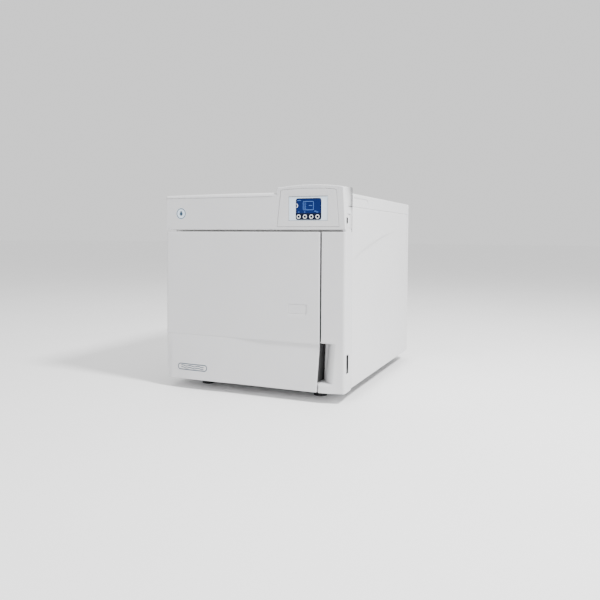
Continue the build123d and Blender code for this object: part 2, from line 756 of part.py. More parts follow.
def chamber():
    outer_r = CHAMBER_R + CHAMBER_WALL
    outer = turned([*dished(outer_r, FLANGE_FRONT, CHAMBER_BACK, CHAMBER_DOME), (0, FLANGE_FRONT)])
    outer += rod_y(CHAMBER_X, CHAMBER_Z, FLANGE_R, (FLANGE_FRONT, PLATE_FRONT))
    outer += rod_y(CHAMBER_X, CHAMBER_Z, PORT_R, (CHAMBER_BACK + 20, CHAMBER_BACK + 44))
    outer += rod_z(CHAMBER_X, DRAIN_PORT_Y, PORT_R, (80, 120))
    inner_dome = CHAMBER_DOME - CHAMBER_WALL
    front = FLANGE_FRONT - 1
    vessel = outer - turned([*dished(CHAMBER_R, front, CHAMBER_BACK, inner_dome), (0, front)])
    vessel -= rod_y(CHAMBER_X, CHAMBER_Z, PORT_R - 2, (CHAMBER_BACK, CHAMBER_BACK + 60))
    vessel -= rod_z(CHAMBER_X, DRAIN_PORT_Y, PORT_R - 2, (70, 130))
    for x, z in flange_bolts():
        vessel -= rod_y(x, z, BOLT_R + 0.2, (-263, -255))
        vessel -= rod_y(x, z, 5.6, (-263, -258))
    return vessel


def chamber_bolts():
    bolts = []
    for x, z in flange_bolts():
        head = rod_y(x, z, 5.0, (-261.8, -258)) - rod_y(x, z, 2.4, (-263, -260))
        bolts.append(head + rod_y(x, z, BOLT_R, (-258, -244)))
    return group(bolts)


def heater_bands():
    inner = CHAMBER_R + CHAMBER_WALL + 0.2
    bands = []
    outer = inner + 2.6
    for front in (-215, -120, -25):
        rear = front + 50
        bands.append(turned([(inner, front), (outer, front), (outer, rear), (inner, rear)]))
    return group(bands)


def insulation_jacket():
    jacket = turned(
        [
            (JACKET_INNER_R, -250),
            (JACKET_OUTER_R, -250),
            (JACKET_OUTER_R, 136),
            (PORT_R + 2, 136),
            (PORT_R + 2, 120),
            (JACKET_INNER_R, 120),
        ]
    )
    jacket -= rod_z(CHAMBER_X, DRAIN_PORT_Y, PORT_R + 2, (60, 130))
    jacket -= rod_z(CHAMBER_X, VALVE_Y, 14, (350, 400))
    for x, z in flange_bolts():
        jacket -= rod_y(x, z, BOLT_R + 1.5, (-255, -240))
    return jacket


def safety_valve():
    seat = CHAMBER_Z + CHAMBER_R + CHAMBER_WALL + 0.2
    stem = rod_z(CHAMBER_X, VALVE_Y, 7, (seat, 400))
    stem += rod_z(CHAMBER_X, VALVE_Y, 12, (seat + 28, seat + 40))
    stem += rod_z(CHAMBER_X, VALVE_Y, 9, (400, 425))
    return stem + block((CHAMBER_X - 14, CHAMBER_X + 14), (VALVE_Y - 2, VALVE_Y + 2), (425, 428))


def air_filter():
    body = rod_y(FILTER_X, FILTER_Z, FILTER_R, (-256, -205))
    cap = rod_y(FILTER_X, FILTER_Z, FILTER_R + 4, (-260.5, -256))
    neck = rod_y(FILTER_X, FILTER_Z, 5, (-205, -192))
    return body + cap + neck


# ---------------------------------------------------------------- rack and trays


def tray_floor_z(level):
    """Height of the underside of one tray."""
    return CHAMBER_Z + TRAY_PITCH * (level - (TRAY_COUNT - 1) / 2) - TRAY_RIM / 2


def tray(level):
    """Shallow pan that slides on a pair of rails."""
    z = tray_floor_z(level)
    x = (CHAMBER_X - TRAY_HALF_WIDTH, CHAMBER_X + TRAY_HALF_WIDTH)
    y = (TRAY_FRONT + 4, TRAY_BACK - 4)
    inside_x = (x[0] + TRAY_SHEET, x[1] - TRAY_SHEET)
    inside_y = (y[0] + TRAY_SHEET, y[1] - TRAY_SHEET)
    pan = block(x, y, (z, z + TRAY_RIM))
    return pan - block(inside_x, inside_y, (z + TRAY_SHEET, z + TRAY_RIM + 1))


def rack_side(side, low, high):
    """One side sheet of the rack with its tray rails."""
    inner = RACK_HALF_WIDTH - RACK_SHEET
    depth = (TRAY_FRONT, TRAY_BACK)
    near, far = sorted((CHAMBER_X + side * inner, CHAMBER_X + side * RACK_HALF_WIDTH))
    sheet = block((near, far), depth, (low, high))
    rail = sorted((CHAMBER_X + side * (inner - RAIL_REACH), CHAMBER_X + side * inner))
    for level in range(TRAY_COUNT):
        z = tray_floor_z(level)
        sheet += block(rail, depth, (z - 1.7, z - 0.2))
    for row in range(3):
        y = TRAY_FRONT + 40 + 80 * row
        sheet -= block((near - 1, far + 1), (y, y + 50), (CHAMBER_Z - 7, CHAMBER_Z + 2))
    return sheet


def tray_rack():
    """Two side sheets with a pair of rails for each tray, held apart by cross rods."""
    low = tray_floor_z(0) - 8
    high = tray_floor_z(TRAY_COUNT - 1) + TRAY_RIM + 6
    inner = RACK_HALF_WIDTH - RACK_SHEET
    span = (CHAMBER_X - inner, CHAMBER_X + inner)
    pieces = [rack_side(-1, low, high), rack_side(1, low, high)]
    for y in (TRAY_FRONT + 20, TRAY_BACK - 20):
        for z in (low + 2, high - 2):
            pieces.append(rod_x(y, z, 2, span))
    return group(pieces)


# ---------------------------------------------------------------- water, steam and vacuum


def water_tanks():
    """One moulding with a clean and a used water well, open at the top."""
    tanks = block((-TANK_X, TANK_X), TANK_Y, TANK_Z)
    depth = (TANK_Y[0] + TANK_WALL, TANK_Y[1] - TANK_WALL)
    height = (TANK_Z[0] + TANK_WALL, TANK_Z[1] + 5)
    for side in (-1, 1):
        width = sorted((side * TANK_WALL, side * (TANK_X - TANK_WALL)))
        tanks -= block(width, depth, height)
    return tanks


def steam_generator():
    """Small boiler: vessel on a wide base, with bands and a steam outlet on top."""
    x, y = STEAM_X, STEAM_Y
    body = rod_z(x, y, 36, (44, 200)) + rod_z(x, y, 42, (30, 44))
    body += rod_z(x, y, 20, (200, 208)) + rod_z(x, y, 7, (208, STEAM_TOP))
    for z in (80, 120, 160):
        body += rod_z(x, y, 39, (z, z + 14))
    return body


def water_pump():
    body = rod_y(-20, 68, 24, (190, 250)) + block((-44, 4), (190, 246), (28, 46))
    head = block((-40, 0), (168, 190), (48, 88)) + rod_z(-20, 180, 5, (88, 100))
    return body + head


def vacuum_pump():
    motor = rod_x(190, 88, 40, (-200, -110))
    foot = block((-196, -114), (155, 225), (28, 54))
    heads = block((-222, -200), (155, 225), (60, 122)) + block((-110, -88), (155, 225), (60, 122))
    ribs = joined([rod_x(190, 88, 44, (x, x + 3)) for x in range(-190, -118, 12)])
    return motor + foot + heads + ribs + rod_z(-99, 190, 5, (122, 134))


def condenser():
    """Finned block in front of the fan, with four tubes that each run in the middle of a fin."""
    low, high = FAN_X - 54, FAN_X + 54
    fin_pitch, fin_thickness = 9.6, 1.4
    body = block((low, low + 8), (226, 266), (FAN_Z - 56, FAN_Z + 56))
    body += block((high - 8, high), (226, 266), (FAN_Z - 56, FAN_Z + 56))
    for row in range(12):
        z = FAN_Z - 54 + fin_pitch * row
        body += block((low + 7, high - 7), (228, 264), (z, z + fin_thickness))
        if row % 3 == 1:
            body += rod_x(246, z + fin_thickness / 2, 3.5, (low - 6, high - 4))
    return body


def fan_frame():
    width = (FAN_X - FAN_HALF, FAN_X + FAN_HALF)
    height = (FAN_Z - FAN_HALF, FAN_Z + FAN_HALF)
    frame = block(width, (FAN_FRONT, FAN_REAR), height)
    frame = fillet(frame.edges().filter_by(Axis.Y), 6)
    frame -= rod_y(FAN_X, FAN_Z, 57, (FAN_FRONT - 1, FAN_REAR + 1))
    motor = rod_y(FAN_X, FAN_Z, 20, (FAN_REAR - 4, FAN_REAR))
    for turn in range(4):
        strut = block((15, 59), (FAN_REAR - 4, FAN_REAR), (-2.5, 2.5))
        motor += Pos(FAN_X, 0, FAN_Z) * Rot(0, 45 + 90 * turn, 0) * strut
    motor += rod_y(FAN_X, FAN_Z, 6, (FAN_REAR - 12, FAN_REAR))
    return (frame + motor) - rod_y(FAN_X, FAN_Z, 2.05, (FAN_FRONT, FAN_REAR - 2))


def fan_rotor():
    hub = rod_y(FAN_X, FAN_Z, 21, (FAN_FRONT + 3, FAN_REAR - 5))
    hub -= rod_y(FAN_X, FAN_Z, 18, (FAN_FRONT + 5, FAN_REAR))
    middle = Pos(FAN_X, (FAN_FRONT + FAN_REAR) / 2 - 1, FAN_Z)
    blade = Pos(37, 0, 0) * Rot(38, 0, 0) * Box(34, 1.6, 20)
    for turn in range(FAN_BLADES):
        hub += middle * Rot(0, 360 * turn / FAN_BLADES, 0) * blade
    return hub + rod_y(FAN_X, FAN_Z, 2, (FAN_FRONT + 4, FAN_REAR - 3))


def solenoid_valve(y):
    body = block((160, 196), (y, y + 26), (60, 84))
    coil = block((164, 192), (y - 2, y + 28), (86, 118)) + rod_z(178, y + 13, 8, (84, 124))
    return body + coil + rod_x(y + 13, 72, 5, (148, 208))


def solenoid_valves():
    return group([solenoid_valve(y) for y in (-190, -140, -90)])


def pipe(points, bend, radius=3.5):
    """Round pipe along straight runs with bent corners."""
    path = FilletPolyline(*points, radius=bend)
    start = Plane(origin=path @ 0, z_dir=path % 0)
    return sweep(start * Circle(radius), path=path)


def pipes():
    """Steam feed, chamber drain and tank outlet."""
    over, behind, under, riser = 240, 143, 50, 112
    steam = [
        (STEAM_X, STEAM_Y, STEAM_TOP),
        (STEAM_X, STEAM_Y, over),
        (STEAM_X, behind, over),
        (CHAMBER_X, behind, CHAMBER_Z),
        (CHAMBER_X, 132, CHAMBER_Z),
    ]
    drain = [
        (CHAMBER_X, DRAIN_PORT_Y, 80),
        (CHAMBER_X, DRAIN_PORT_Y, under),
        (riser, DRAIN_PORT_Y, under),
        (riser, 180, under),
        (riser, 180, 122),
        (riser, 226, 122),
    ]
    outlet = rod_z(-20, 180, 3.5, (100, TANK_Z[0]))
    return group([pipe(steam, 5), pipe(drain, 12), outlet])


def drain_fitting():
    """Bulkhead fitting with a hose tail, clamped on both sides of the rear panel."""
    steps = [(8, (284, REAR_Y)), (12, (288, 298)), (11, (REAR_Y, 304)), (DRAIN_R, (302, 318))]
    fitting = joined([rod_y(DRAIN_X, DRAIN_Z, radius, span) for radius, span in steps])
    return fitting - rod_y(DRAIN_X, DRAIN_Z, 3.2, (280, 320))


# ---------------------------------------------------------------- electrical


def power_pcb():
    board = block((216, 217.6), (-180, 10), (240, 420))
    board += block((178, 216), (-150, -90), (260, 310))
    board += block((190, 216), (-60, -10), (250, 330))
    for row in range(4):
        board += rod_x(-150 + 26 * row, 350, 9, (188, 216))
    return board + block((200, 216), (-160, -20), (390, 408))


def mains_inlet():
    """Three-pin appliance inlet in a flanged shroud."""
    at = Pos(INLET_X, 0, INLET_Z)
    body = at * block((-13.6, 13.6), (274, REAR_Y), (-10.2, 10.2))
    flange = at * block((-25, 25), (REAR_Y, REAR_Y + 3), (-15, 15))
    flange = fillet(flange.edges().filter_by(Axis.Y), 4)
    inlet = body + flange - at * block((-12, 12), (284, 304), (-8.25, 8.25))
    for x, z in ((-7, -2), (7, -2), (0, 2)):
        inlet += at * block((x - 1, x + 1), (283, 296), (z - 2, z + 2))
    return inlet


NODES = {
    "feet": feet,
    "foot_screws": foot_screws,
    "base_pan": base_pan,
    "front_plate": front_plate,
    "left_side_panel": lambda: side_panel(-1),
    "right_side_panel": lambda: side_panel(1),
    "top_cover": top_cover,
    "tank_lid": tank_lid,
    "rear_panel": rear_panel,
    "cover_screws": cover_screws,
    "front_fascia": front_fascia,
    "front_pillar": front_pillar,
    "control_face_plate": control_face_plate,
    "display_overlay": display_overlay,
    "lcd_module": lcd_module,
    "control_pcb": control_pcb,
    "usb_socket": usb_socket,
    "power_switch_housing": power_switch_housing,
    "power_rocker": power_rocker,
    "door_outer_shell": door_outer_shell,
    "door_inner_cover": door_inner_cover,
    "door_access_cap": door_access_cap,
    "door_frame": door_frame,
    "door_disc": door_disc,
    "door_gasket": door_gasket,
    "door_adjusting_screw": door_adjusting_screw,
    "door_catch": door_catch,
    "hinge_brackets": hinge_brackets,
    "hinge_pins": hinge_pins,
    "hinge_bushes": hinge_bushes,
    "lock_actuator": lock_actuator,
    "lock_bolt": lock_bolt,
    "chamber": chamber,
    "chamber_bolts": chamber_bolts,
    "heater_bands": heater_bands,
    "insulation_jacket": insulation_jacket,
    "safety_valve": safety_valve,
    "air_filter": air_filter,
    "tray_rack": tray_rack,
    "water_tanks": water_tanks,
    "steam_generator": steam_generator,
    "water_pump": water_pump,
    "vacuum_pump": vacuum_pump,
    "condenser": condenser,
    "fan_frame": fan_frame,
    "fan_rotor": fan_rotor,
    "solenoid_valves": solenoid_valves,
    "pipes": pipes,
    "drain_fitting": drain_fitting,
    "power_pcb": power_pcb,
    "mains_inlet": mains_inlet,
}


def main():
    os.makedirs("parts", exist_ok=True)
    for name, build in NODES.items():
        export_step(build(), f"parts/{name}.step")
    for number, x in enumerate(KEY_X, start=1):
        export_step(key(x), f"parts/key_{number}.step")
    for level in range(TRAY_COUNT):
        export_step(tray(level), f"parts/tray_{level + 1}.step")


main()
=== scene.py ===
"""Looks of the benchtop autoclave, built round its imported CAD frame. Metres, +Z up, front at -Y."""

import json
import math

import bmesh
import bpy
from mathutils import Matrix, Vector


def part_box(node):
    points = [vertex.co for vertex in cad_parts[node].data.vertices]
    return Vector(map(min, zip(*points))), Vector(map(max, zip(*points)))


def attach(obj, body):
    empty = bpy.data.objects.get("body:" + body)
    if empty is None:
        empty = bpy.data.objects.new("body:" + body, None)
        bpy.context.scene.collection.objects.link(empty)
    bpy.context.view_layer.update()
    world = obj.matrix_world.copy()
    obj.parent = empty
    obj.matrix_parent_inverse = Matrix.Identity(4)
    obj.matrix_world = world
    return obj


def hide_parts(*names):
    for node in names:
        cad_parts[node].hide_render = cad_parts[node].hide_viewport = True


MM = 0.001

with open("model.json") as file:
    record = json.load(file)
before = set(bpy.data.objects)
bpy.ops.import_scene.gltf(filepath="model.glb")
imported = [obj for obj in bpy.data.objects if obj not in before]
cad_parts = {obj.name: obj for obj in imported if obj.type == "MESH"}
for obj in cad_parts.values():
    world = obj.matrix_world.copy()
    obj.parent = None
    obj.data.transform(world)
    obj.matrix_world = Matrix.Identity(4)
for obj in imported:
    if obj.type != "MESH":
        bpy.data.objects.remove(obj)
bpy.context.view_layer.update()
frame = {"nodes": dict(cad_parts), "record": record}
nodes = frame["nodes"]

# ------------------------------------------------------------------ places taken from the frame

DOOR_LO, DOOR_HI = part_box("door_outer_shell")
PILLAR_LO, PILLAR_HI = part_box("front_pillar")
FASCIA_LO, FASCIA_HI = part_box("front_fascia")
SIDE_LO, SIDE_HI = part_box("right_side_panel")
LABEL_LO, LABEL_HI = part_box("display_overlay")
PLATE_LO, PLATE_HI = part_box("control_face_plate")
LCD_LO, LCD_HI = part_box("lcd_module")
CAP_LO, CAP_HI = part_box("door_access_cap")
PIN_LO, PIN_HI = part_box("hinge_pins")

FRONT_Y = FASCIA_LO.y
HALF_WIDTH = FASCIA_HI.x
BODY_BOTTOM = DOOR_LO.z
HINGE = Vector(((PIN_LO.x + PIN_HI.x) / 2, (PIN_LO.y + PIN_HI.y) / 2, 0))

# ------------------------------------------------------------------ shape constants

CREASE_Z = BODY_BOTTOM + 110 * MM
CREASE_STEP = 3.0 * MM
GAP_SLANT = 2.6 * MM
DOOR_SKIN = 3.0 * MM
PILLAR_SKIN = 1.5 * MM
SIDE_SKIN = 1.2 * MM
INSIDE_POINT = Vector((0, 0, 0.25))    # in the middle of the machine


def smooth(low, high, value):
    """Smooth ramp from 0 at low to 1 at high."""
    t = min(1.0, max(0.0, (value - low) / (high - low)))
    return t * t * (3 - 2 * t)


def lerp(a, b, t):
    return a + (b - a) * t


def spread(low, high, count):
    """count + 1 evenly spaced values from low to high."""
    return [lerp(low, high, i / count) for i in range(count + 1)]


def curve_through(pairs, value):
    """Smoothly interpolated height of a curve given by (place, height) pairs."""
    for (x0, h0), (x1, h1) in zip(pairs, pairs[1:]):
        if value <= x1:
            return h0 + (h1 - h0) * smooth(x0, x1, value)
    return pairs[-1][1]


# ------------------------------------------------------------------ materials


def material(name):
    """(material, its node tree, its shader) with nodes switched on."""
    mat = bpy.data.materials.new(name)
    mat.use_nodes = True
    tree = mat.node_tree
    return mat, tree, tree.nodes["Principled BSDF"]


def add_node(tree, kind, **inputs):
    node = tree.nodes.new(kind)
    for key, value in inputs.items():
        node.inputs[key.replace("_", " ")].default_value = value
    return node


def object_coords(tree, scale=(1, 1, 1)):
    """The object's own coordinates, stretched by scale."""
    coords = tree.nodes.new("ShaderNodeTexCoord")
    mapping = tree.nodes.new("ShaderNodeMapping")
    mapping.inputs["Scale"].default_value = scale
    tree.links.new(coords.outputs["Object"], mapping.inputs["Vector"])
    return mapping.outputs["Vector"]


def ramp(tree, source, stops):
    """Colour ramp over the source, from (place, colour) stops."""
    node = tree.nodes.new("ShaderNodeValToRGB")
    elements = node.color_ramp.elements
    while len(elements) < len(stops):
        elements.new(0.5)
    for element, (place, colour) in zip(elements, stops):
        element.position = place
        element.color = (*colour, 1)
    tree.links.new(source, node.inputs["Fac"])
    return node.outputs["Color"]


def noise(tree, vector, scale, detail=3.0, roughness=0.5):
    node = add_node(tree, "ShaderNodeTexNoise", Scale=scale, Detail=detail, Roughness=roughness)
    tree.links.new(vector, node.inputs["Vector"])
    return node.outputs["Fac"]


def bump(tree, height, bsdf, strength, distance):
    node = add_node(tree, "ShaderNodeBump", Strength=strength, Distance=distance)
    tree.links.new(height, node.inputs["Height"])
    tree.links.new(node.outputs["Normal"], bsdf.inputs["Normal"])


def tint(colour, factor):
    return tuple(min(1.0, c * factor) for c in colour)


def grey_stops(low, dark, high, light):
    """Two ramp stops with plain values in place of colours."""
    return [(low, (dark,) * 3), (high, (light,) * 3)]


def moulded(name, colour, roughness, grain=2600.0, depth=0.00003, drift=0.015, coat=0.0, shine=0.5):
    """Moulded or powder-coated surface: fine grain, slow colour drift, uneven sheen."""
    mat, tree, bsdf = material(name)
    where = object_coords(tree)
    slow = noise(tree, where, scale=7.0, detail=2.0)
    colour_out = ramp(tree, slow, [(0.3, tint(colour, 1 - drift)), (0.7, tint(colour, 1 + drift))])
    tree.links.new(colour_out, bsdf.inputs["Base Color"])
    patches = noise(tree, where, scale=60.0, detail=4.0)
    sheen = ramp(tree, patches, grey_stops(0.3, roughness - 0.05, 0.7, roughness + 0.05))
    tree.links.new(sheen, bsdf.inputs["Roughness"])
    bump(tree, noise(tree, where, grain, detail=2.0), bsdf, strength=0.35, distance=depth)
    bsdf.inputs["Coat Weight"].default_value = coat
    bsdf.inputs["Specular IOR Level"].default_value = shine
    return mat


def brushed(name, colour, along, roughness, scale):
    """Brushed metal: fine scratches, shortest in the direction with the largest number in along."""
    mat, tree, bsdf = material(name)
    where = object_coords(tree, along)
    lines = noise(tree, where, scale, detail=6.0, roughness=0.7)
    colour_out = ramp(tree, lines, [(0.25, tint(colour, 0.86)), (0.75, tint(colour, 1.08))])
    tree.links.new(colour_out, bsdf.inputs["Base Color"])
    rough = ramp(tree, lines, grey_stops(0.2, roughness - 0.08, 0.8, roughness + 0.12))
    tree.links.new(rough, bsdf.inputs["Roughness"])
    bump(tree, lines, bsdf, strength=0.2, distance=0.00005)
    bsdf.inputs["Metallic"].default_value = 1.0
    return mat


MATERIALS = {
    "front_moulding": moulded("front_moulding_look", (0.64, 0.64, 0.65), roughness=0.40),
    "white_enamel": moulded("white_enamel_look", (0.67, 0.67, 0.675),
                            roughness=0.36, grain=1500.0, depth=0.00005),
    "black_plastic": moulded("black_plastic_look", (0.018, 0.018, 0.02),
                             roughness=0.45, grain=1800.0, depth=0.00005, drift=0.15),
    "rubber": moulded("rubber_look", (0.025, 0.025, 0.026),
                      roughness=0.75, grain=900.0, depth=0.0001, drift=0.2),
    "silicone": moulded("silicone_look", (0.50, 0.48, 0.45),
                        roughness=0.5, grain=700.0, depth=0.00005, drift=0.06),
    "steel_zinc": brushed("steel_zinc_look", (0.56, 0.56, 0.57),
                          along=(8, 8, 8), roughness=0.34, scale=90.0),
    "stainless": brushed("stainless_look", (0.62, 0.62, 0.615),
                         along=(1, 50, 1), roughness=0.28, scale=30.0),
    "aluminium": brushed("aluminium_look", (0.68, 0.68, 0.70),
                         along=(40, 1, 40), roughness=0.36, scale=30.0),
    "brass": brushed("brass_look", (0.66, 0.47, 0.18), along=(6, 6, 6), roughness=0.3, scale=80.0),
    "insulation": moulded("insulation_look", (0.42, 0.42, 0.40),
                          roughness=0.85, grain=500.0, depth=0.0004, drift=0.2),
    "tank_plastic": moulded("tank_plastic_look", (0.62, 0.65, 0.65),
                            roughness=0.5, grain=900.0, depth=0.0001, drift=0.05),
    "pcb": moulded("pcb_look", (0.02, 0.16, 0.06),
                   roughness=0.35, grain=400.0, depth=0.0001, drift=0.3),
    "cast_grey": moulded("cast_grey_look", (0.14, 0.145, 0.15),
                         roughness=0.55, grain=700.0, depth=0.0002, drift=0.1),
    "filter_blue": moulded("filter_blue_look", (0.45, 0.56, 0.66),
                           roughness=0.3, grain=900.0, depth=0.00003, drift=0.04, coat=0.3),
    "key_white": moulded("key_white_look", (0.84, 0.86, 0.88),
                         roughness=0.3, grain=1500.0, depth=0.00002, drift=0.02, coat=0.3),
    "label": moulded("label_look", (0.68, 0.79, 0.90),
                     roughness=0.3, grain=3000.0, depth=0.00001, drift=0.03, coat=0.2),
    "lcd": moulded("lcd_look", (0.001, 0.013, 0.10),
                   roughness=0.3, grain=3000.0, depth=0.000005, drift=0.1, shine=0.15),
    "navy": moulded("navy_look", (0.001, 0.005, 0.02),
                    roughness=0.35, grain=3000.0, depth=0.00001, drift=0.1, shine=0.15),
    "pixel_blue": moulded("pixel_blue_look", (0.06, 0.17, 0.50),
                          roughness=0.3, grain=3000.0, depth=0.00001, drift=0.05),
    "pixel_white": moulded("pixel_white_look", (0.80, 0.86, 0.92),
                           roughness=0.3, grain=3000.0, depth=0.00001, drift=0.02),
    "badge": moulded("badge_look", (0.025, 0.06, 0.10),
                     roughness=0.35, grain=3000.0, depth=0.00001, drift=0.05),
    # Dark line round the label, and painted shade along the label's top edge.
    "border": moulded("border_and_shade_look", (0.22, 0.25, 0.29),
                      roughness=0.35, grain=3000.0, depth=0.00001, drift=0.05),
    # Painted shade: near-black look for the strips that stand for the shade in the door's right gap and its
    # finger pocket.
    "gap_shade": moulded("gap_shade_look", (0.035, 0.035, 0.036),
                    roughness=0.6, grain=1500.0, depth=0.00005, drift=0.1),
}


def dress_frame():
    """Gives every carried-over CAD node the look of its material slot."""
    for part in frame["record"]["subparts"]:
        data = nodes[part["node"]].data
        data.materials.clear()
        data.materials.append(MATERIALS[part["material_slot"]])


# ------------------------------------------------------------------ mesh tools


def piece(name, mesh, look, body, replaced=(), weighted=True):
    """A finished piece: look, smooth faces, body and the nodes that it stands for."""
    obj = bpy.data.objects.new(name, mesh)
    bpy.context.scene.collection.objects.link(obj)
    mesh.materials.append(MATERIALS[look])
    for polygon in mesh.polygons:
        polygon.use_smooth = True
    if weighted:
        mod = obj.modifiers.new("normals", "WEIGHTED_NORMAL")
        mod.keep_sharp = True
    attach(obj, body)
    for node in replaced:
        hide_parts(node)
    return obj


def grid_mesh(name, us, vs, point, keep=None, caps=()):
    """Mesh of point(u, v) over the two lists, without the cells where keep is false.

    Each row numbered in caps is closed with one flat face.
    """
    bm = bmesh.new()
    verts = [[bm.verts.new(point(u, v)) for u in us] for v in vs]
    for j in range(len(vs) - 1):
        for i in range(len(us) - 1):
            if keep and not keep((us[i] + us[i + 1]) / 2, (vs[j] + vs[j + 1]) / 2):
                continue
            bm.faces.new((verts[j][i], verts[j][i + 1], verts[j + 1][i + 1], verts[j + 1][i]))
    for row in caps:
        bm.faces.new(verts[row])
    loose = [v for v in bm.verts if not v.link_faces]
    bmesh.ops.delete(bm, geom=loose, context="VERTS")
    bmesh.ops.remove_doubles(bm, verts=bm.verts, dist=1e-6)
    bmesh.ops.recalc_face_normals(bm, faces=bm.faces)
    mesh = bpy.data.meshes.new(name)
    bm.to_mesh(mesh)
    bm.free()
    return mesh


def face_outwards(mesh):
    """Turns the faces of an open skin away from the middle of the machine."""
    if sum(face.normal.dot(face.center - INSIDE_POINT) * face.area for face in mesh.polygons) < 0:
        mesh.flip_normals()


def solidify(obj, thickness, even=True):
    """Gives an open skin its wall, inwards from its outer face."""
    face_outwards(obj.data)
    mod = obj.modifiers.new("wall", "SOLIDIFY")
    mod.thickness = thickness
    mod.offset = -1
    mod.use_even_offset = even
    obj.modifiers.move(len(obj.modifiers) - 1, 0)


def rounding(radius, steps=4):
    """(inset of the side, distance from the end) pairs that round an edge, from the end onwards."""
    angles = [math.pi / 2 * i / steps for i in range(steps + 1)]
    return [(radius * (1 - math.sin(a)), radius * (1 - math.cos(a))) for a in angles]


# ------------------------------------------------------------------ door shell

DOOR_EDGE = 2.6 * MM
DOOR_CORNER = 6.0 * MM
DOOR_REAR = DOOR_HI.y
DOOR_FRONT_X = (-0.233, 0.174)         # the front face between its two corners
LEFT_DRAW_IN = 4 * MM
WRAP_START = 121.5                     # degrees round the hinge at which the wrapped edge begins
STEP_GROWS = (-0.085, 0.05)            # from where to where the step at the crease grows
CREASE_GROOVE = 0.6 * MM
CAP_GAP = 0.4 * MM
CAP_RIM = 1.2 * MM
# How far the lower part stands forward at the door's bottom, as (x, distance) pairs.
DOOR_BULGE = [(-0.240, 0.0), (-0.221, 0.0095), (-0.150, 0.0140), (-0.094, 0.0140),
              (-0.041, 0.0115), (0.180, 0.0115)]
# Heights between which the hinge plates pass through the shell.
SLOTS = [(0.088, 0.152), (0.300, 0.364)]
SLOT_END = 175                         # degrees round the hinge at which the slots end
BOLT_LO, BOLT_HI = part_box("lock_bolt")
BOLT_Y = (BOLT_LO.y + BOLT_HI.y) / 2
BOLT_Z = (BOLT_LO.z + BOLT_HI.z) / 2
CATCH_HALF = 7.5 * MM
WALL_FRONT = FRONT_Y + DOOR_EDGE
# Rear edge and heights of the dark strips of painted shade on the door's right edge, in the finger pocket
# and in the gap above it.
STRIP_REAR = -0.264
GRIP_Z = (0.0462, 0.1358)
GAP_SHADE_BOTTOM = 0.138


def below_crease(z):
    """0 at the crease and above it, 1 at the machine's bottom edge."""
    return max(0.0, (CREASE_Z - z) / (CREASE_Z - BODY_BOTTOM))


def door_face_y(x, z):
    """Front of the door: flat above the crease, stepped in and then leaning out below it."""
    if z >= CREASE_Z:
        return FRONT_Y
    step = CREASE_STEP * smooth(*STEP_GROWS, x)
    return FRONT_Y + step - (curve_through(DOOR_BULGE, x) + step) * below_crease(z)


def door_left_x(z):
    """Left edge, which draws in towards the bottom."""
    return DOOR_LO.x + LEFT_DRAW_IN * below_crease(z) ** 2


def door_right_x(z):
    """Right edge, slanting with the gap below the crease."""
    return DOOR_HI.x - GAP_SLANT * below_crease(z)


def door_stations():
    """Labels of the stations round the door's plan outline, from the hinge rear to the right rear."""
    sweep = [("arc", a) for a in spread(WRAP_START, 180.0, 8)]
    left = [("left", t) for t in (0.5, 1.0)]
    corner = [("corner", a) for a in spread(180.0, 270.0, 6)[1:]]
    cap = [CAP_LO.x - CAP_GAP, CAP_LO.x + CAP_RIM, CAP_HI.x - CAP_RIM, CAP_HI.x + CAP_GAP]
    xs = sorted(spread(*DOOR_FRONT_X, 48)[1:] + cap)
    front = [("front", x) for x in xs]
    right_corner = [("edge", a) for a in spread(270.0, 360.0, 4)]
    catch = [(BOLT_Y + side * CATCH_HALF - WALL_FRONT) / (DOOR_REAR - WALL_FRONT) for side in (-1, 1)]
    right = [("right", t) for t in (0.0, *catch, 1.0)]
    return sweep + left + corner + front + right_corner + right


def door_point(station, z, inset):
    """Point of the door's outer skin, moved in by inset at its rounded top and bottom."""
    kind, value = station
    left = door_left_x(z) + inset
    right = door_right_x(z) - inset
    if kind == "arc":
        a = math.radians(value)
        r = HINGE.x - DOOR_LO.x - inset
        return Vector((HINGE.x + r * math.cos(a), HINGE.y + r * math.sin(a), z))
    if kind == "left":
        return Vector((left, lerp(HINGE.y, FRONT_Y + DOOR_CORNER, value), z))
    if kind == "corner":
        a = math.radians(value)
        centre = Vector((left - inset + DOOR_CORNER, FRONT_Y + DOOR_CORNER, z))
        r = DOOR_CORNER - inset
        return centre + Vector((r * math.cos(a), r * math.sin(a), 0))
    if kind == "front":
        x = min(value, right - DOOR_EDGE)
        return Vector((x, door_face_y(x, z) + inset, z))
    face = door_face_y(right, z) + inset
    r = max(DOOR_EDGE - inset, 0.3 * MM)
    if kind == "edge":
        a = math.radians(value)
        return Vector((right - r + r * math.cos(a), face + r + r * math.sin(a), z))
    return Vector((right, lerp(face + r, DOOR_REAR, value), z))


def door_rows():
    """(height, inset) rows from the door's bottom to its top."""
    low = [(BODY_BOTTOM + rise, inset) for inset, rise in rounding(DOOR_EDGE)]
    high = [(DOOR_HI.z - rise, inset) for inset, rise in reversed(rounding(DOOR_EDGE))]
    below = [(z, 0.0) for z in spread(BODY_BOTTOM + 8 * MM, CREASE_Z - 4 * MM, 12)]
    crease = [(CREASE_Z - 1.2 * MM, 0.0), (CREASE_Z - 0.25 * MM, 0.0),
              (CREASE_Z, CREASE_GROOVE), (CREASE_Z + 0.5 * MM, 0.0)]
    catch = [BOLT_Z - CATCH_HALF, BOLT_Z + CATCH_HALF]
    edges = [CAP_LO.z - CAP_GAP, CAP_HI.z + CAP_GAP, *catch, *[z for slot in SLOTS for z in slot]]
    above = [z for z in edges if z > CREASE_Z + 2 * MM]
    above += spread(CREASE_Z + 3 * MM, DOOR_HI.z - 8 * MM, 14)
    return low + below + crease + [(z, 0.0) for z in sorted(above)] + high


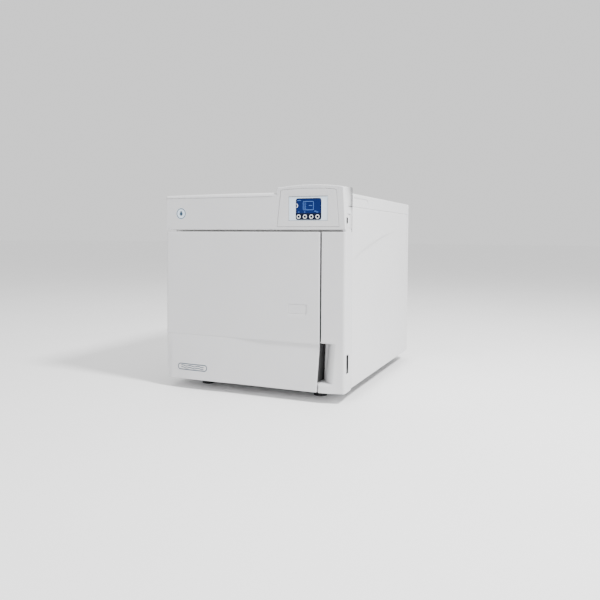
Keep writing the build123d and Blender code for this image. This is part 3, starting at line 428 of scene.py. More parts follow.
def in_slot(near, far, z):
    """True where the hinge plates pass through the shell's curved left side."""
    curved = near[0] == "arc" and far[0] == "arc" and far[1] < SLOT_END
    return curved and any(low < z < high for low, high in SLOTS)


def in_catch(near, far, z):
    """True where the lock bolt enters the shell's right side."""
    side = near[0] == "right" and 0 < near[1] < far[1] < 1
    return side and abs(z - BOLT_Z) < CATCH_HALF


def in_cap(near, far, z):
    """True inside the opening for the small cap on the front face."""
    if near[0] != "front" or far[0] != "front":
        return False
    x = (near[1] + far[1]) / 2
    gap = 0.5 * MM
    return CAP_LO.x - gap < x < CAP_HI.x + gap and CAP_LO.z - gap < z < CAP_HI.z + gap


def build_door_shell():
    stations = door_stations()
    rows = door_rows()
    us = list(range(len(stations)))
    vs = list(range(len(rows)))

    def point(u, v):
        z, inset = rows[v]
        return door_point(stations[u], z, inset)

    def keep(u, v):
        near, far = stations[int(u)], stations[int(u) + 1]
        z = (rows[int(v)][0] + rows[int(v) + 1][0]) / 2
        return not (in_slot(near, far, z) or in_catch(near, far, z) or in_cap(near, far, z))

    mesh = grid_mesh("door_shell", us, vs, point, keep, caps=(0, len(vs) - 1))
    shell = piece("door_shell", mesh, "front_moulding", "door", ["door_outer_shell"])
    solidify(shell, DOOR_SKIN)


def build_finger_pocket_shade():
    """Painted shade: a dark strip on the door's edge where fingers reach in beside the pillar, standing for
    the shade deep in the finger pocket.
    """
    def point(z, share):
        x = door_right_x(z)
        front = door_face_y(x, z) + 1.2 * MM
        return Vector((x + 0.25 * MM, lerp(front, STRIP_REAR, share), z))

    strip = grid_mesh("finger_pocket_shade", spread(*GRIP_Z, 16), [0, 0.5, 1], point)
    piece("finger_pocket_shade", strip, "gap_shade", "door", weighted=False)


def build_edge_gap_shade():
    """Painted shade: a dark strip on the rest of the door's right edge, where the narrow gap to the pillar
    lies in shade, narrower in front of the bolt's hole.
    """
    def strip(low, high, rear):
        def point(z, share):
            x = door_right_x(z)
            return Vector((x + 0.2 * MM, lerp(door_face_y(x, z) + DOOR_EDGE, rear, share), z))
        return grid_mesh("edge_gap_shade", spread(low, high, 8), [0, 1], point)

    gap = CATCH_HALF + 1 * MM
    strips = [strip(GAP_SHADE_BOTTOM, BOLT_Z - gap, STRIP_REAR),
              strip(BOLT_Z - gap, BOLT_Z + gap, BOLT_Y - gap),
              strip(BOLT_Z + gap, DOOR_HI.z - 3 * MM, STRIP_REAR)]
    piece("edge_gap_shade", merged("edge_gap_shade", strips), "gap_shade", "door", weighted=False)


# ------------------------------------------------------------------ pillar

# The handle recess in the pillar's front, then the pillar round it.
RECESS_TOP = 0.1366
RECESS_BOTTOM = 0.0453
RECESS_DEEP_X = 0.192
RECESS_END_X = 0.218
RECESS_SLANT = 6 * MM
RECESS_DEPTH = 30 * MM
SCOOP_DEPTH = 27 * MM
SCOOP_POWER = 1.6
FACE_RIGHT_X = 0.2325
PILLAR_REAR = PILLAR_HI.y
PILLAR_CORNER = 7 * MM
PILLAR_EDGE = 0.8 * MM
PILLAR_LEAN = 11 * MM
LEAN_TOP = 0.150
LEAN_FADES = (0.190, 0.238)            # from where to where the lean fades towards the corner
LEAN_LOST = 0.75                       # share of the lean that is gone at the corner
BEHIND_SWITCH = -0.266
SWITCH_LO, SWITCH_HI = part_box("power_switch_housing")
BOLT_HOLE_HALF = 6.5 * MM


def pillar_lean(x, z):
    """How far the face stands forward: grows towards the bottom and fades towards the corner."""
    t = max(0.0, (LEAN_TOP - z) / (LEAN_TOP - BODY_BOTTOM))
    return PILLAR_LEAN * t * (1 - LEAN_LOST * smooth(*LEAN_FADES, x))


def slanted(x, z):
    """Place of a front station, drawn to the left towards the bottom of the recess."""
    t = min(1.0, max(0.0, (RECESS_TOP - z) / (RECESS_TOP - RECESS_BOTTOM)))
    places = [(PILLAR_LO.x, 0.4), (RECESS_DEEP_X, 1.0), (RECESS_END_X, 0.65), (FACE_RIGHT_X, 0.0)]
    for (x0, w0), (x1, w1) in zip(places, places[1:]):
        if x <= x1:
            return x - RECESS_SLANT * t * lerp(w0, w1, (x - x0) / (x1 - x0))
    return x


def recess_depth(x):
    """Depth of the handle recess behind the face, which runs out towards the right."""
    if x <= RECESS_DEEP_X:
        return RECESS_DEPTH
    u = min(1.0, (x - RECESS_DEEP_X) / (RECESS_END_X - RECESS_DEEP_X))
    return SCOOP_DEPTH * (1 - u) ** SCOOP_POWER


def pillar_left_x(z):
    """Left edge, slanting with the gap below the crease."""
    return PILLAR_LO.x - GAP_SLANT * below_crease(z)


def pillar_stations():
    """Labels of the stations round the pillar's plan outline, from its left rear to its right rear."""
    wall = FRONT_Y + PILLAR_EDGE
    hole = [(BOLT_Y + side * BOLT_HOLE_HALF - PILLAR_REAR) / (wall - PILLAR_REAR) for side in (1, -1)]
    left = [("left", t) for t in (0.0, *hole, 1.0)]
    edge = [("edge", a) for a in spread(180.0, 270.0, 3)[1:]]
    xs = [0.1835, 0.187, 0.1915, 0.1922, *spread(0.1935, 0.2180, 14), 0.2215, 0.2250, FACE_RIGHT_X]
    front = [("front", x) for x in xs]
    corner = [("corner", a) for a in spread(270.0, 360.0, 8)[1:]]
    right = [("right", y) for y in (SWITCH_LO.y, SWITCH_HI.y, BEHIND_SWITCH, PILLAR_REAR)]
    return left + edge + front + corner + right


def pillar_point(station, z, inset, inside):
    """Point of the pillar's outer skin; the rows that are inside follow the recess's floor."""
    kind, value = station
    left = pillar_left_x(z) + inset
    right = HALF_WIDTH - inset
    place = left
    if kind == "front":
        place = slanted(value, z)
    elif kind in ("corner", "right"):
        place = right
    face = FRONT_Y - pillar_lean(place, z) + inset
    floor_y = FRONT_Y + RECESS_DEPTH
    if inside and kind == "left":
        return Vector((left, lerp(PILLAR_REAR, floor_y, value), z))
    if inside and (kind == "edge" or kind == "front" and value <= RECESS_DEEP_X):
        return Vector((place, floor_y, z))
    if inside and kind == "front":
        return Vector((place, face + recess_depth(value), z))
    r = PILLAR_EDGE
    if kind == "left":
        return Vector((left, lerp(PILLAR_REAR, face + r, value), z))
    if kind == "edge":
        a = math.radians(value)
        return Vector((left + r + r * math.cos(a), face + r + r * math.sin(a), z))
    if kind == "front":
        return Vector((place, face, z))
    if kind == "corner":
        a = math.radians(value)
        r = PILLAR_CORNER - inset
        return Vector((right - r + r * math.cos(a), face + r + r * math.sin(a), z))
    return Vector((right, value, z))


def pillar_rows():
    """(height, inset, inside the recess) rows from bottom to top."""
    edge = 1.6 * MM
    low = [(BODY_BOTTOM + rise, inset, False) for inset, rise in rounding(edge)]
    high = [(PILLAR_HI.z - rise, inset, False) for inset, rise in reversed(rounding(edge))]
    lip = 0.5 * MM
    recess = sorted([RECESS_BOTTOM + lip, *spread(0.052, 0.130, 12), RECESS_TOP - lip,
                     SWITCH_LO.z, SWITCH_HI.z])
    outside_low = [(z, 0.0, False) for z in (0.030, 0.038, RECESS_BOTTOM)]
    hole = [BOLT_Z - BOLT_HOLE_HALF, BOLT_Z + BOLT_HOLE_HALF]
    heights = sorted([RECESS_TOP, 0.141, LEAN_TOP, 0.156, *hole, *spread(0.18, 0.38, 6)])
    outside_high = [(z, 0.0, False) for z in heights]
    return low + outside_low + [(z, 0.0, True) for z in recess] + outside_high + high


def in_switch(near, far, z):
    """True where the power switch sits in the right side."""
    if near[0] != "right" or far[0] != "right":
        return False
    y = (near[1] + far[1]) / 2
    return SWITCH_LO.y < y < SWITCH_HI.y and SWITCH_LO.z < z < SWITCH_HI.z


def in_bolt_hole(near, far, z):
    """True where the lock bolt comes out of the left side."""
    side = near[0] == "left" and 0 < near[1] < far[1] < 1
    return side and abs(z - BOLT_Z) < BOLT_HOLE_HALF


def build_pillar():
    stations = pillar_stations()
    rows = pillar_rows()
    us = list(range(len(stations)))
    vs = list(range(len(rows)))

    def point(u, v):
        z, inset, inside = rows[v]
        return pillar_point(stations[u], z, inset, inside)

    def keep(u, v):
        near, far = stations[int(u)], stations[int(u) + 1]
        z = (rows[int(v)][0] + rows[int(v) + 1][0]) / 2
        return not (in_switch(near, far, z) or in_bolt_hole(near, far, z))

    mesh = grid_mesh("pillar_shell", us, vs, point, keep, caps=(0, len(vs) - 1))
    shell = piece("pillar_shell", mesh, "front_moulding", "cabinet", ["front_pillar"])
    solidify(shell, PILLAR_SKIN, even=False)


# ------------------------------------------------------------------ side panels

SIDE_EDGE = 1.4 * MM
SIDE_CREASE_DEPTH = 2.2 * MM
SIDE_CREASE_Z = 0.3788                 # height of the side crease at y = 0
SIDE_CREASE_SLOPE = 0.15
SIDE_CREASE_CURVE = 0.225              # in 1 / metre
SIDE_CREASE_GROWS = (-0.262, -0.222)
SIDE_CREASE_FADES = (-0.07, 0.19)


def crease_height(y):
    """Height of the swept crease on the side panels."""
    return SIDE_CREASE_Z + SIDE_CREASE_SLOPE * y - SIDE_CREASE_CURVE * y * y


def crease_depth(y):
    """How far the panel is sunk under its crease, from nothing at the front to nothing at the rear."""
    return SIDE_CREASE_DEPTH * smooth(*SIDE_CREASE_GROWS, y) * (1 - smooth(*SIDE_CREASE_FADES, y))


def side_rows():
    """(part, share) rows: up to the crease, the lip over it, then up to the top."""
    low = [("low", t) for t in spread(0, 1, 24)]
    high = [("high", t) for t in spread(0, 1, 10)[1:]]
    return low + [("lip", 0.0)] + high


def build_side_panel(side):
    """Skin of the right panel (side 1) or the left one (side -1)."""
    ys = spread(SIDE_LO.y, SIDE_HI.y, 90)
    rows = side_rows()
    front = [(SIDE_LO.y + dy, dx) for dx, dy in rounding(SIDE_EDGE)]
    stations = front + [(y, 0.0) for y in ys[1:]]

    def point(u, v):
        y, dx = stations[u]
        part, t = rows[v]
        crease = crease_height(y)
        depth = crease_depth(y)
        if part == "low":
            z, sunk = lerp(SIDE_LO.z, crease, t), depth * t
        elif part == "lip":
            z, sunk = crease + 0.4 * MM, 0.0
        else:
            z, sunk = lerp(crease, SIDE_HI.z, t), 0.0
        return Vector((side * (SIDE_HI.x - dx - sunk), y, z))

    mesh = grid_mesh("side_skin", list(range(len(stations))), list(range(len(rows))), point)
    name = "right_side" if side > 0 else "left_side"
    skin = piece(name + "_skin", mesh, "white_enamel", "cabinet", [name + "_panel"])
    solidify(skin, SIDE_SKIN)


# ------------------------------------------------------------------ prisms with shaped outlines


def rounded_outline(corners, steps=5):
    """Closed (x, z) outline from (x, z, radius) corners; radius 0 keeps a point as it is."""
    points = []
    for i, (x, z, radius) in enumerate(corners):
        here = Vector((x, z))
        if radius == 0:
            points.append(here)
            continue
        before = Vector(corners[i - 1][:2]) - here
        after = Vector(corners[(i + 1) % len(corners)][:2]) - here
        half = before.angle(after) / 2
        reach = min(radius / math.tan(half), 0.49 * before.length, 0.49 * after.length)
        start, end = here + before.normalized() * reach, here + after.normalized() * reach
        for t in spread(0, 1, steps):
            points.append(start * (1 - t) ** 2 + here * 2 * t * (1 - t) + end * t * t)
    return points


def outward_normals(points):
    """Normals of a closed outline that runs anticlockwise."""
    normals = []
    for i, here in enumerate(points):
        along = points[(i + 1) % len(points)] - points[i - 1]
        normals.append(Vector((along.y, -along.x)).normalized())
    return normals


def outline_prism(name, points, front, rear, radius_at, steps=4, flare=lambda p: p.x):
    """Closed prism along Y, front edge rounded by radius_at(x, z), rear outline widened by flare."""
    normals = outward_normals(points)
    radii = [radius_at(p.x, p.y) for p in points]
    loops = [[Vector((flare(p), rear, p.y)) for p in points]]
    for angle in spread(0, math.pi / 2, steps):
        loop = []
        for p, normal, r in zip(points, normals, radii):
            q = p - normal * r * (1 - math.cos(angle))
            loop.append(Vector((q.x, front + r * (1 - math.sin(angle)), q.y)))
        loops.append(loop)
    bm = bmesh.new()
    verts = [[bm.verts.new(co) for co in loop] for loop in loops]
    count = len(points)
    for near, far in zip(verts, verts[1:]):
        for i in range(count):
            k = (i + 1) % count
            bm.faces.new((near[i], near[k], far[k], far[i]))
    bm.faces.new(verts[0])
    bm.faces.new(verts[-1])
    bmesh.ops.recalc_face_normals(bm, faces=bm.faces)
    mesh = bpy.data.meshes.new(name)
    bm.to_mesh(mesh)
    bm.free()
    return mesh


def box_mesh(name, x, y, z):
    """Box between the two values given for each of x, y and z."""
    bm = bmesh.new()
    size = Vector((x[1] - x[0], y[1] - y[0], z[1] - z[0]))
    middle = Vector((x[0] + x[1], y[0] + y[1], z[0] + z[1])) / 2
    bmesh.ops.create_cube(bm, size=1, matrix=Matrix.Translation(middle) @ Matrix.Diagonal((*size, 1)))
    mesh = bpy.data.meshes.new(name)
    bm.to_mesh(mesh)
    bm.free()
    return mesh


def rod_mesh(name, x, z, radius, y, sides=40):
    """Round rod along Y with sharp ends."""
    angles = [2 * math.pi * i / sides for i in range(sides)]
    points = [Vector((x + radius * math.cos(a), z + radius * math.sin(a))) for a in angles]
    return outline_prism(name, points, y[0], y[1], lambda px, pz: 0.0001 * MM, 1)


def block_mesh(name, corners, y):
    """Straight prism along Y on a rounded outline, with an edge too small to see."""
    return outline_prism(name, rounded_outline(corners), y[0], y[1], lambda x, z: 0.01 * MM, 1)


def carve(mesh, cutters):
    """The mesh with every cutter mesh subtracted."""
    scene = bpy.context.scene
    body = bpy.data.objects.new("carved", mesh)
    scene.collection.objects.link(body)
    tools = []
    for cutter in cutters:
        tool = bpy.data.objects.new("cutter", cutter)
        scene.collection.objects.link(tool)
        mod = body.modifiers.new("cut", "BOOLEAN")
        mod.object = tool
        mod.operation = "DIFFERENCE"
        mod.solver = "EXACT"
        tools.append(tool)
    graph = bpy.context.evaluated_depsgraph_get()
    result = bpy.data.meshes.new_from_object(body.evaluated_get(graph))
    for obj in (body, *tools):
        bpy.data.objects.remove(obj)
    return result


# ------------------------------------------------------------------ fascia and control hump

GROOVE_Z = 0.4739
HUMP_LEFT = 65.5 * MM
HUMP_DRAFT = ((0.2385, 0.396), (0.2328, 0.4935))     # (x, z) at the foot and head of the right side
HUMP_TOP = FASCIA_HI.z
HUMP_DROP = 6 * MM
HUMP_MIDDLE = 0.152
HUMP_REACH = 0.082
SHOULDER_Z = 0.481
CROWN_RISE = 2.5 * MM
FACE_FOOT_X = (0.0695, 0.2230)
FACE_FOOT_Z = 0.4035
FACE_HEAD_LEFT = (0.0790, 0.4882)
FACE_HEAD_RIGHT = (0.2160, 0.4862)
FACE_TOP = 0.491
FACE_SAG = 0.003
FACE_MIDDLE = 0.148
FACE_REACH = 0.069
OUTSIDE_X = 0.25                       # past the machine's right side
HOLLOW_X = (0.082, 0.212)
HOLLOW_Y = (FRONT_Y + 2 * MM, -0.262)
HOLLOW_Z = (0.410, 0.478)
GROOVE_X = (-0.2375, 0.057)
SEAM_Y = (-0.2975, -0.25)
SEAM_Z = SIDE_HI.z + 0.3 * MM
PORT_X = (0.2368, OUTSIDE_X)
PORT_Y = (-0.291, -0.266)
PORT_Z = (0.401, 0.433)
SKIRT_LEFT_X = 0.2300
SKIRT_Y = (-0.2965, -0.2590)
USB_LO, USB_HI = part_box("usb_socket")


def crown_z(x):
    """Top of the fascia left of the hump, highest in the middle of the machine."""
    return SHOULDER_Z + CROWN_RISE * (1 - (x / HALF_WIDTH) ** 2)


def hump_z(x):
    """Arched top of the hump."""
    return HUMP_TOP - HUMP_DROP * ((x - HUMP_MIDDLE) / HUMP_REACH) ** 2


def face_corners(grow):
    """Trapezoid with an arched top: the outline of the control face plate, widened by grow."""
    foot, head = 2 * MM, 2.5 * MM
    low = FACE_FOOT_Z - grow
    (left_x, left_z), (right_x, right_z) = FACE_HEAD_LEFT, FACE_HEAD_RIGHT
    arch = [(x, FACE_TOP + grow - FACE_SAG * ((x - FACE_MIDDLE) / FACE_REACH) ** 2, 0)
            for x in spread(0.208, 0.088, 10)]
    return [(FACE_FOOT_X[0] - grow, low, foot), (FACE_FOOT_X[1] + grow, low, foot),
            (right_x + grow, right_z + grow, head), *arch, (left_x - grow, left_z + grow, head)]


def fascia_corners():
    """(x, z, radius) corners of the whole fascia, with the arches of the hump and the crown."""
    low = FASCIA_LO.z
    arch = [(x, hump_z(x), 0) for x in spread(0.224, 0.080, 16)]
    crown = [(x, crown_z(x), 0) for x in spread(0.060, -0.232, 20)]
    (low_x, _), (high_x, high_z) = HUMP_DRAFT
    return [(-HALF_WIDTH, low, 2 * MM), (low_x, low, 1.2 * MM), (high_x, high_z, 3 * MM),
            *arch, (0.0690, 0.4950, 6 * MM), (HUMP_LEFT, crown_z(HUMP_LEFT), 2.5 * MM),
            *crown, (-HALF_WIDTH, SHOULDER_Z, 6 * MM)]


def hump_flare(point):
    """The hump's right side runs out to the full width at its rear."""
    (low_x, low_z), (high_x, high_z) = HUMP_DRAFT
    edge = lerp(low_x, high_x, (point.y - low_z) / (high_z - low_z))
    return point.x + (HALF_WIDTH - edge) * smooth(edge - 8 * MM, edge - 1 * MM, point.x)


def fascia_radius(x, z):
    """Front edge rounding: soft along the crown, tighter at the bottom and round the hump."""
    if z < FASCIA_LO.z + 3 * MM:
        return 1.6 * MM
    if x < HUMP_LEFT and z > GROOVE_Z + 1 * MM:
        return max(2.5 * MM, z - GROOVE_Z - 0.9 * MM)
    return 2.4 * MM


def build_fascia():
    mesh = outline_prism("fascia_shell", rounded_outline(fascia_corners()), FRONT_Y, FASCIA_HI.y,
                         fascia_radius, flare=hump_flare)
    pocket = block_mesh("pocket", face_corners(0.8 * MM), (FRONT_Y - 1 * MM, FRONT_Y + 3 * MM))
    hollow = box_mesh("hollow", HOLLOW_X, HOLLOW_Y, HOLLOW_Z)
    groove = box_mesh("groove", GROOVE_X, (FRONT_Y - 1 * MM, FRONT_Y + 1.2 * MM),
                      (GROOVE_Z - 0.8 * MM, GROOVE_Z + 0.5 * MM))
    seam = box_mesh("seam", (HALF_WIDTH - 4 * MM, OUTSIDE_X), SEAM_Y,
                    (SEAM_Z - 0.7 * MM, SEAM_Z + 0.5 * MM))
    port = box_mesh("port", PORT_X, PORT_Y, PORT_Z)
    socket = box_mesh("socket", (USB_LO.x, OUTSIDE_X), (USB_LO.y - 0.2 * MM, USB_HI.y + 0.2 * MM),
                      (USB_LO.z - 0.3 * MM, USB_HI.z + 0.3 * MM))
    mesh = carve(mesh, [pocket, hollow, groove, seam, port, socket])
    piece("fascia_shell", mesh, "front_moulding", "cabinet", ["front_fascia"])
    skirt = box_mesh("fascia_skirt", (SKIRT_LEFT_X, HALF_WIDTH - 0.3 * MM), SKIRT_Y,
                     (PILLAR_HI.z - 3 * MM, FASCIA_LO.z + 3 * MM))
    soft = piece("fascia_skirt", skirt, "front_moulding", "cabinet")
    mod = soft.modifiers.new("soft_edges", "BEVEL")
    mod.width = 1.2 * MM
    mod.segments = 3
    soft.modifiers.move(1, 0)


# ------------------------------------------------------------------ control face, display and keys

KEY_NAMES = [f"key_{n}" for n in range(1, 5)]
KEY_BOXES = [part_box(name) for name in KEY_NAMES]
KEY_R = 4.8 * MM
# (radius, depth) pairs in millimetres, from the middle of the key's front to its rear.
KEY_PROFILE = [(0.0, 0.9), (2.9, 0.9), (3.3, 0.35), (3.6, 0.02), (4.2, 0.0), (4.6, 0.15), (4.8, 0.5),
               (4.8, 2.9), (7.2, 2.9), (7.2, 4.1), (2.0, 4.1), (2.0, 7.3), (0.0, 7.3)]
DOT_R = 3.0 * MM
THROUGH_FACE = (-0.302, -0.290)        # from in front of the control face to behind it
# The dark border on the label, and the screen inside it.
NAVY_X = (LCD_LO.x + 3.6 * MM, LCD_HI.x - 3.4 * MM)
NAVY_Z = (0.4188, 0.4688)
SCREEN_X = (NAVY_X[0] + 1.6 * MM, NAVY_X[1] - 1.6 * MM)
SCREEN_Z = (0.4342, 0.4676)
GAUGE_Z = 0.4517


def key_places():
    return [((lo.x + hi.x) / 2, (lo.z + hi.z) / 2) for lo, hi in KEY_BOXES]


def sheet(name, corners, front, rear, holes, edge=0.25 * MM):
    """Flat moulding with a lightly rounded front edge and holes through it."""
    mesh = outline_prism(name, rounded_outline(corners), front, rear, lambda x, z: edge, 3)
    return carve(mesh, holes) if holes else mesh


def rectangle(x, z, radius):
    return [(x[0], z[0], radius), (x[1], z[0], radius), (x[1], z[1], radius), (x[0], z[1], radius)]


def key_holes(radius, y):
    return [rod_mesh("hole", x, z, radius, y) for x, z in key_places()]


def screen_hole():
    return box_mesh("screen", SCREEN_X, THROUGH_FACE, SCREEN_Z)


def build_control_face():
    window_x, window_z = (LABEL_LO.x, LABEL_HI.x), (LABEL_LO.z, LABEL_HI.z)
    window = block_mesh("window", rectangle(window_x, window_z, 1.5 * MM), (THROUGH_FACE[0], LABEL_HI.y))
    plate = sheet("control_face", face_corners(0), PLATE_LO.y, PLATE_HI.y,
                  [window, screen_hole(), *key_holes(KEY_R + 0.3 * MM, THROUGH_FACE)], 0.9 * MM)
    piece("control_face", plate, "front_moulding", "cabinet", ["control_face_plate"])
    inset = 0.2 * MM
    outline = rectangle((window_x[0] + inset, window_x[1] - inset),
                        (window_z[0] + inset, window_z[1] - inset), 1.4 * MM)
    label = sheet("display_label", outline, LABEL_LO.y, LABEL_HI.y - 0.05 * MM,
                  [screen_hole(), *key_holes(KEY_R + 0.25 * MM, THROUGH_FACE)], 0.1 * MM)
    piece("display_label", label, "label", "cabinet", ["display_overlay"])
    dark = sheet("display_border", rectangle(NAVY_X, NAVY_Z, 6.0 * MM),
                 LABEL_LO.y - 0.08 * MM, LABEL_LO.y + 0.1 * MM,
                 [screen_hole(), *key_holes(KEY_R + 0.2 * MM, THROUGH_FACE)], 0.05 * MM)
    piece("display_border", dark, "navy", "cabinet")
    build_label_border_and_shade(window_x, window_z)


def build_label_border_and_shade(window_x, window_z):
    """Thin dark line round the label's edge, with a thicker bar of painted shade along its top, where the
    recess's top wall lies in shade; sizes in millimetres.
    """
    margin, line, top_shade_line = 0.3, 0.5, 1.0
    wide, high = (window_x[1] - window_x[0]) / MM, (window_z[1] - window_z[0]) / MM
    left, low = (window_x[0] - SCREEN_X[0]) / MM, (window_z[0] - SCREEN_Z[0]) / MM
    around = frame_bars(left + margin, low + margin, wide - 2 * margin, high - 2 * margin, line)
    # Painted shade: the thicker bar along the top stands for the shaded top wall of the label's recess.
    top = (left + margin, low + high - margin - top_shade_line, wide - 2 * margin, top_shade_line)
    mesh = marks("label_border_and_shade", [*around, top], LABEL_LO.y - 0.06 * MM)
    piece("label_border_and_shade", mesh, "border", "cabinet")


def merged(name, meshes):
    """One mesh from several."""
    bm = bmesh.new()
    for mesh in meshes:
        bm.from_mesh(mesh)
    whole = bpy.data.meshes.new(name)
    bm.to_mesh(whole)
    bm.free()
    return whole


def marks(name, boxes, front):
    """Flat printed bars, given as (x, z, width, height) in millimetres from the screen's corner."""
    bars = []
    for x, z, width, height in boxes:
        left, low = SCREEN_X[0] + x * MM, SCREEN_Z[0] + z * MM
        right, top = left + width * MM, low + height * MM
        bars.append(box_mesh(name, (left, right), (front, front + 0.1 * MM), (low, top)))
    return merged(name, bars)


def frame_bars(x, z, width, height, line):
    """Four bars that outline a rectangle."""
    return [(x, z, width, line), (x, z + height - line, width, line),
            (x, z, line, height), (x + width - line, z, line, height)]


def arc_strip(name, x, z, radius, angles, width, y):
    """Flat curved stroke."""
    def point(a, side):
        r = radius + width * (side - 0.5)
        return Vector((x + r * math.cos(a), y, z + r * math.sin(a)))
    return grid_mesh(name, spread(*[math.radians(v) for v in angles], 14), [0, 1], point)


def build_screen():
    lap = 1 * MM
    outline = rectangle((SCREEN_X[0] - lap, SCREEN_X[1] + lap), (SCREEN_Z[0] - lap, SCREEN_Z[1] + lap),
                        0.5 * MM)
    glass = sheet("screen_glass", outline, LCD_LO.y, PLATE_HI.y, [], 0.1 * MM)
    back = box_mesh("screen_back", (LCD_LO.x, LCD_HI.x), (PLATE_HI.y, LCD_HI.y),
                    (LCD_LO.z + 0.4 * MM, LCD_HI.z))
    piece("screen", merged("screen", [glass, back]), "lcd", "cabinet", ["lcd_module"])
    front = LCD_LO.y - 0.1 * MM
    rows = [(20.0, 10.2 + 2.6 * n, 3.0 if n % 2 else 4.2, 1.0) for n in range(6)]
    blue = frame_bars(16.4, 7.2, 26.5, 20.5, 1.2) + rows + [(31.0, 17.0, 8.0, 1.2), (44, 4, 5.5, 1.4)]
    piece("screen_window", marks("screen_window", blue, front), "pixel_blue", "cabinet")
    small = [(3.6, 2.2, 4.2, 1.3), (19.0, 2.2, 3.6, 1.3), (49, 2.0, 5.5, 1.3), (2.0, 28.8, 9.0, 1.2)]
    piece("screen_marks", marks("screen_marks", small, front), "pixel_blue", "cabinet")
    gauge = arc_strip("screen_gauge", SCREEN_X[0] - 2.2 * MM, GAUGE_Z, 5.2 * MM, (-58, 58), 1.8 * MM, front)
    piece("screen_gauge", gauge, "pixel_white", "cabinet", weighted=False)


def turned(profile, x, z, front):
    """Point function of a shape turned round an axis along Y; the profile is in millimetres."""
    def point(angle, i):
        r, depth = profile[i]
        return Vector((x + r * MM * math.cos(angle), front + depth * MM, z + r * MM * math.sin(angle)))
    return point


def build_keys():
    steps = list(range(len(KEY_PROFILE)))
    for name, (x, z), (lo, hi) in zip(KEY_NAMES, key_places(), KEY_BOXES):
        point = turned(KEY_PROFILE, x, z, lo.y)
        cap = grid_mesh(name + "_cap", spread(0, 2 * math.pi, 40), steps, point)
        piece(name + "_cap", cap, "key_white", name, [name])
        dot = rod_mesh(name + "_dot", x, z, DOT_R, (lo.y + 0.55 * MM, lo.y + 1.0 * MM), 28)
        piece(name + "_dot", dot, "navy", name)


# ------------------------------------------------------------------ generic marks


BADGE_X = -0.195
BADGE_Z = 0.436
BADGE_R = 14 * MM
RING_R = (11.4 * MM, 13.2 * MM)
DROP_R = 4.4 * MM
DROP_TIP = 0.75                        # how far the tip stands out, as a share of the radius
MARK_LIFT = 0.2 * MM
CAPSULE_X = (-0.192, -0.122)           # the straight part of the door's mark
CAPSULE_Z = 0.054
CAPSULE_R = 8.0 * MM
CAPSULE_LINE = 2.0 * MM
WAVE_LEVELS = (-2.4 * MM, 2.4 * MM)
WAVE_HEIGHT = 1.1 * MM
WAVE_LENGTH = 3.7 * MM                 # per radian
WAVE_LINE = 1.7 * MM


def disc_point(lift):
    """Point function in polar form round the fascia's mark, lifted off the fascia."""
    def point(angle, radius):
        x, z = BADGE_X + radius * math.cos(angle), BADGE_Z + radius * math.sin(angle)
        return Vector((x, FRONT_Y - lift, z))
    return point


def drop_point(angle, share):
    """Point of a water drop with its tip at the top."""
    up = max(0.0, math.sin(angle))
    r = DROP_R * (1 + DROP_TIP * up ** 9) * share
    middle_z = BADGE_Z - 0.8 * MM
    return Vector((BADGE_X + r * math.cos(angle), FRONT_Y - MARK_LIFT, middle_z + r * math.sin(angle)))


def build_fascia_badge():
    turn = spread(0, 2 * math.pi, 48)
    disc = grid_mesh("badge_disc", turn, [0.0, BADGE_R], disc_point(0.12 * MM))
    piece("badge_disc", disc, "label", "cabinet", weighted=False)
    ring = grid_mesh("badge_ring", turn, RING_R, disc_point(MARK_LIFT))
    piece("badge_ring", ring, "badge", "cabinet", weighted=False)
    drop = grid_mesh("badge_drop", turn, [0.0, 1.0], drop_point)
    piece("badge_drop", drop, "badge", "cabinet", weighted=False)


def on_door(x, z):
    """Point just in front of the door's face."""
    return Vector((x, door_face_y(x, z) - 0.25 * MM, z))


def capsule_point(step, side):
    """Runs along the bottom, round the right end, along the top and round the left end."""
    left, right = CAPSULE_X
    r = CAPSULE_R - side * CAPSULE_LINE
    leg, t = int(step) % 4, step % 1
    if leg == 0:
        return on_door(lerp(left, right, t), CAPSULE_Z - r)
    if leg == 2:
        return on_door(lerp(left, right, 1 - t), CAPSULE_Z + r)
    end, a = (right, math.pi * (t - 0.5)) if leg == 1 else (left, math.pi * (t + 0.5))
    return on_door(end + r * math.cos(a), CAPSULE_Z + r * math.sin(a))


def wave_strip(name, level):
    """Wavy stroke along the capsule, at a height above its middle."""
    left, right = CAPSULE_X

    def point(x, side):
        swell = WAVE_HEIGHT * math.sin((x - left) / WAVE_LENGTH)
        return on_door(x, CAPSULE_Z + level + swell + (side - 0.5) * WAVE_LINE)
    return grid_mesh(name, spread(left + 2 * MM, right - 2 * MM, 80), [0, 1], point)


def build_door_badge():
    """Capsule outline with two waves, on the leaning lower part of the door."""
    outline = grid_mesh("door_badge_ring", spread(0, 4, 80), [0, 1], capsule_point)
    piece("door_badge_ring", outline, "badge", "door", weighted=False)
    for n, level in enumerate(WAVE_LEVELS, 1):
        name = f"door_badge_wave_{n}"
        piece(name, wave_strip(name, level), "badge", "door", weighted=False)


# ------------------------------------------------------------------ scene

CAMERA_PLACE = Vector((0.69636, -1.64651, 0.3822))
# Yaw, pitch and roll in radians, lens in millimetres.
CAMERA_YAW = 0.39915
CAMERA_PITCH = 0.04129
CAMERA_ROLL = 0.0058
CAMERA_LENS = 37.97
CAMERA_SHIFT = -0.0633
WORLD_STRENGTH = 1.1
FLOOR_SHADES = (0.94, 0.96)


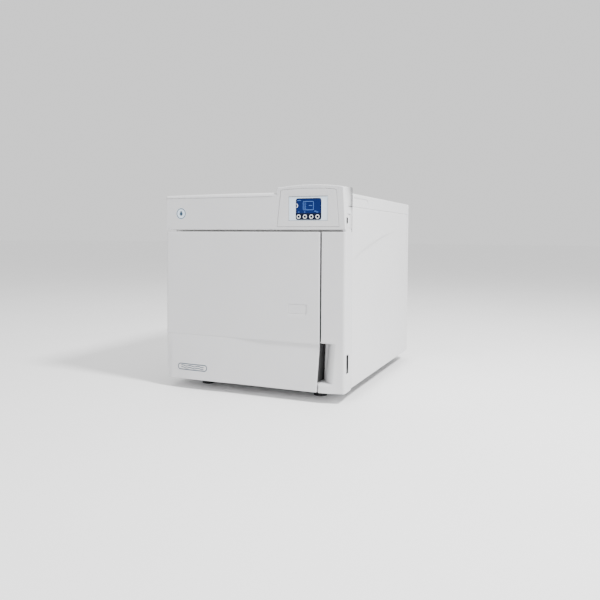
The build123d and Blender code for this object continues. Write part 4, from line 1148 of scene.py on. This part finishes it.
def build_camera():
    cy, sy = math.cos(CAMERA_YAW), math.sin(CAMERA_YAW)
    cp, sp = math.cos(CAMERA_PITCH), math.sin(CAMERA_PITCH)
    forward = Vector((-sy * cp, cy * cp, -sp))
    right = Vector((cy, sy, 0))
    up = right.cross(forward)
    cr, sr = math.cos(CAMERA_ROLL), math.sin(CAMERA_ROLL)
    level_right = right * cr + up * sr
    level_up = up * cr - right * sr
    turn = Matrix((level_right, level_up, -forward)).transposed().to_4x4()
    data = bpy.data.cameras.new("camera")
    data.lens = CAMERA_LENS
    data.sensor_width = 36
    data.shift_y = CAMERA_SHIFT
    data.clip_start = 0.05
    data.clip_end = 100
    camera = bpy.data.objects.new("camera", data)
    camera.matrix_world = Matrix.Translation(CAMERA_PLACE) @ turn
    bpy.context.scene.collection.objects.link(camera)
    bpy.context.scene.camera = camera


def area_light(name, place, target, size, power):
    """Rectangular lamp of (width, height) that faces the target."""
    data = bpy.data.lights.new(name, "AREA")
    data.shape = "RECTANGLE"
    data.size, data.size_y = size
    data.energy = power
    lamp = bpy.data.objects.new(name, data)
    lamp.location = place
    lamp.rotation_euler = (Vector(target) - Vector(place)).to_track_quat("-Z", "Y").to_euler()
    bpy.context.scene.collection.objects.link(lamp)


def build_studio():
    mat, tree, bsdf = material("floor_look")
    where = object_coords(tree)
    dark, light = FLOOR_SHADES
    shade = ramp(tree, noise(tree, where, scale=3.0), grey_stops(0.3, dark, 0.7, light))
    tree.links.new(shade, bsdf.inputs["Base Color"])
    bsdf.inputs["Roughness"].default_value = 0.6
    bpy.ops.mesh.primitive_plane_add(size=60, location=(0, 0, 0))
    floor = bpy.context.object
    floor.name = "floor"
    floor.data.materials.append(mat)
    world = bpy.data.worlds.new("studio")
    world.use_nodes = True
    background = world.node_tree.nodes["Background"]
    background.inputs["Color"].default_value = (1, 1, 1, 1)
    background.inputs["Strength"].default_value = WORLD_STRENGTH
    bpy.context.scene.world = world
    area_light("key_light", (-1.0, -3.0, 2.0), (0, 0, 0.25), (2.0, 1.6), 6)
    area_light("side_light", (1.7, -0.6, 2.25), (0.24, -0.15, 0.3), (0.4, 0.4), 140)
    area_light("top_light", (-0.4, 0.9, 2.6), (0, 0, 0.2), (2.4, 2.4), 25)


dress_frame()
build_door_shell()
build_finger_pocket_shade()
build_edge_gap_shade()
build_pillar()
build_side_panel(1)
build_side_panel(-1)
build_fascia()
build_control_face()
build_screen()
build_keys()
build_fascia_badge()
build_door_badge()
build_camera()
build_studio()
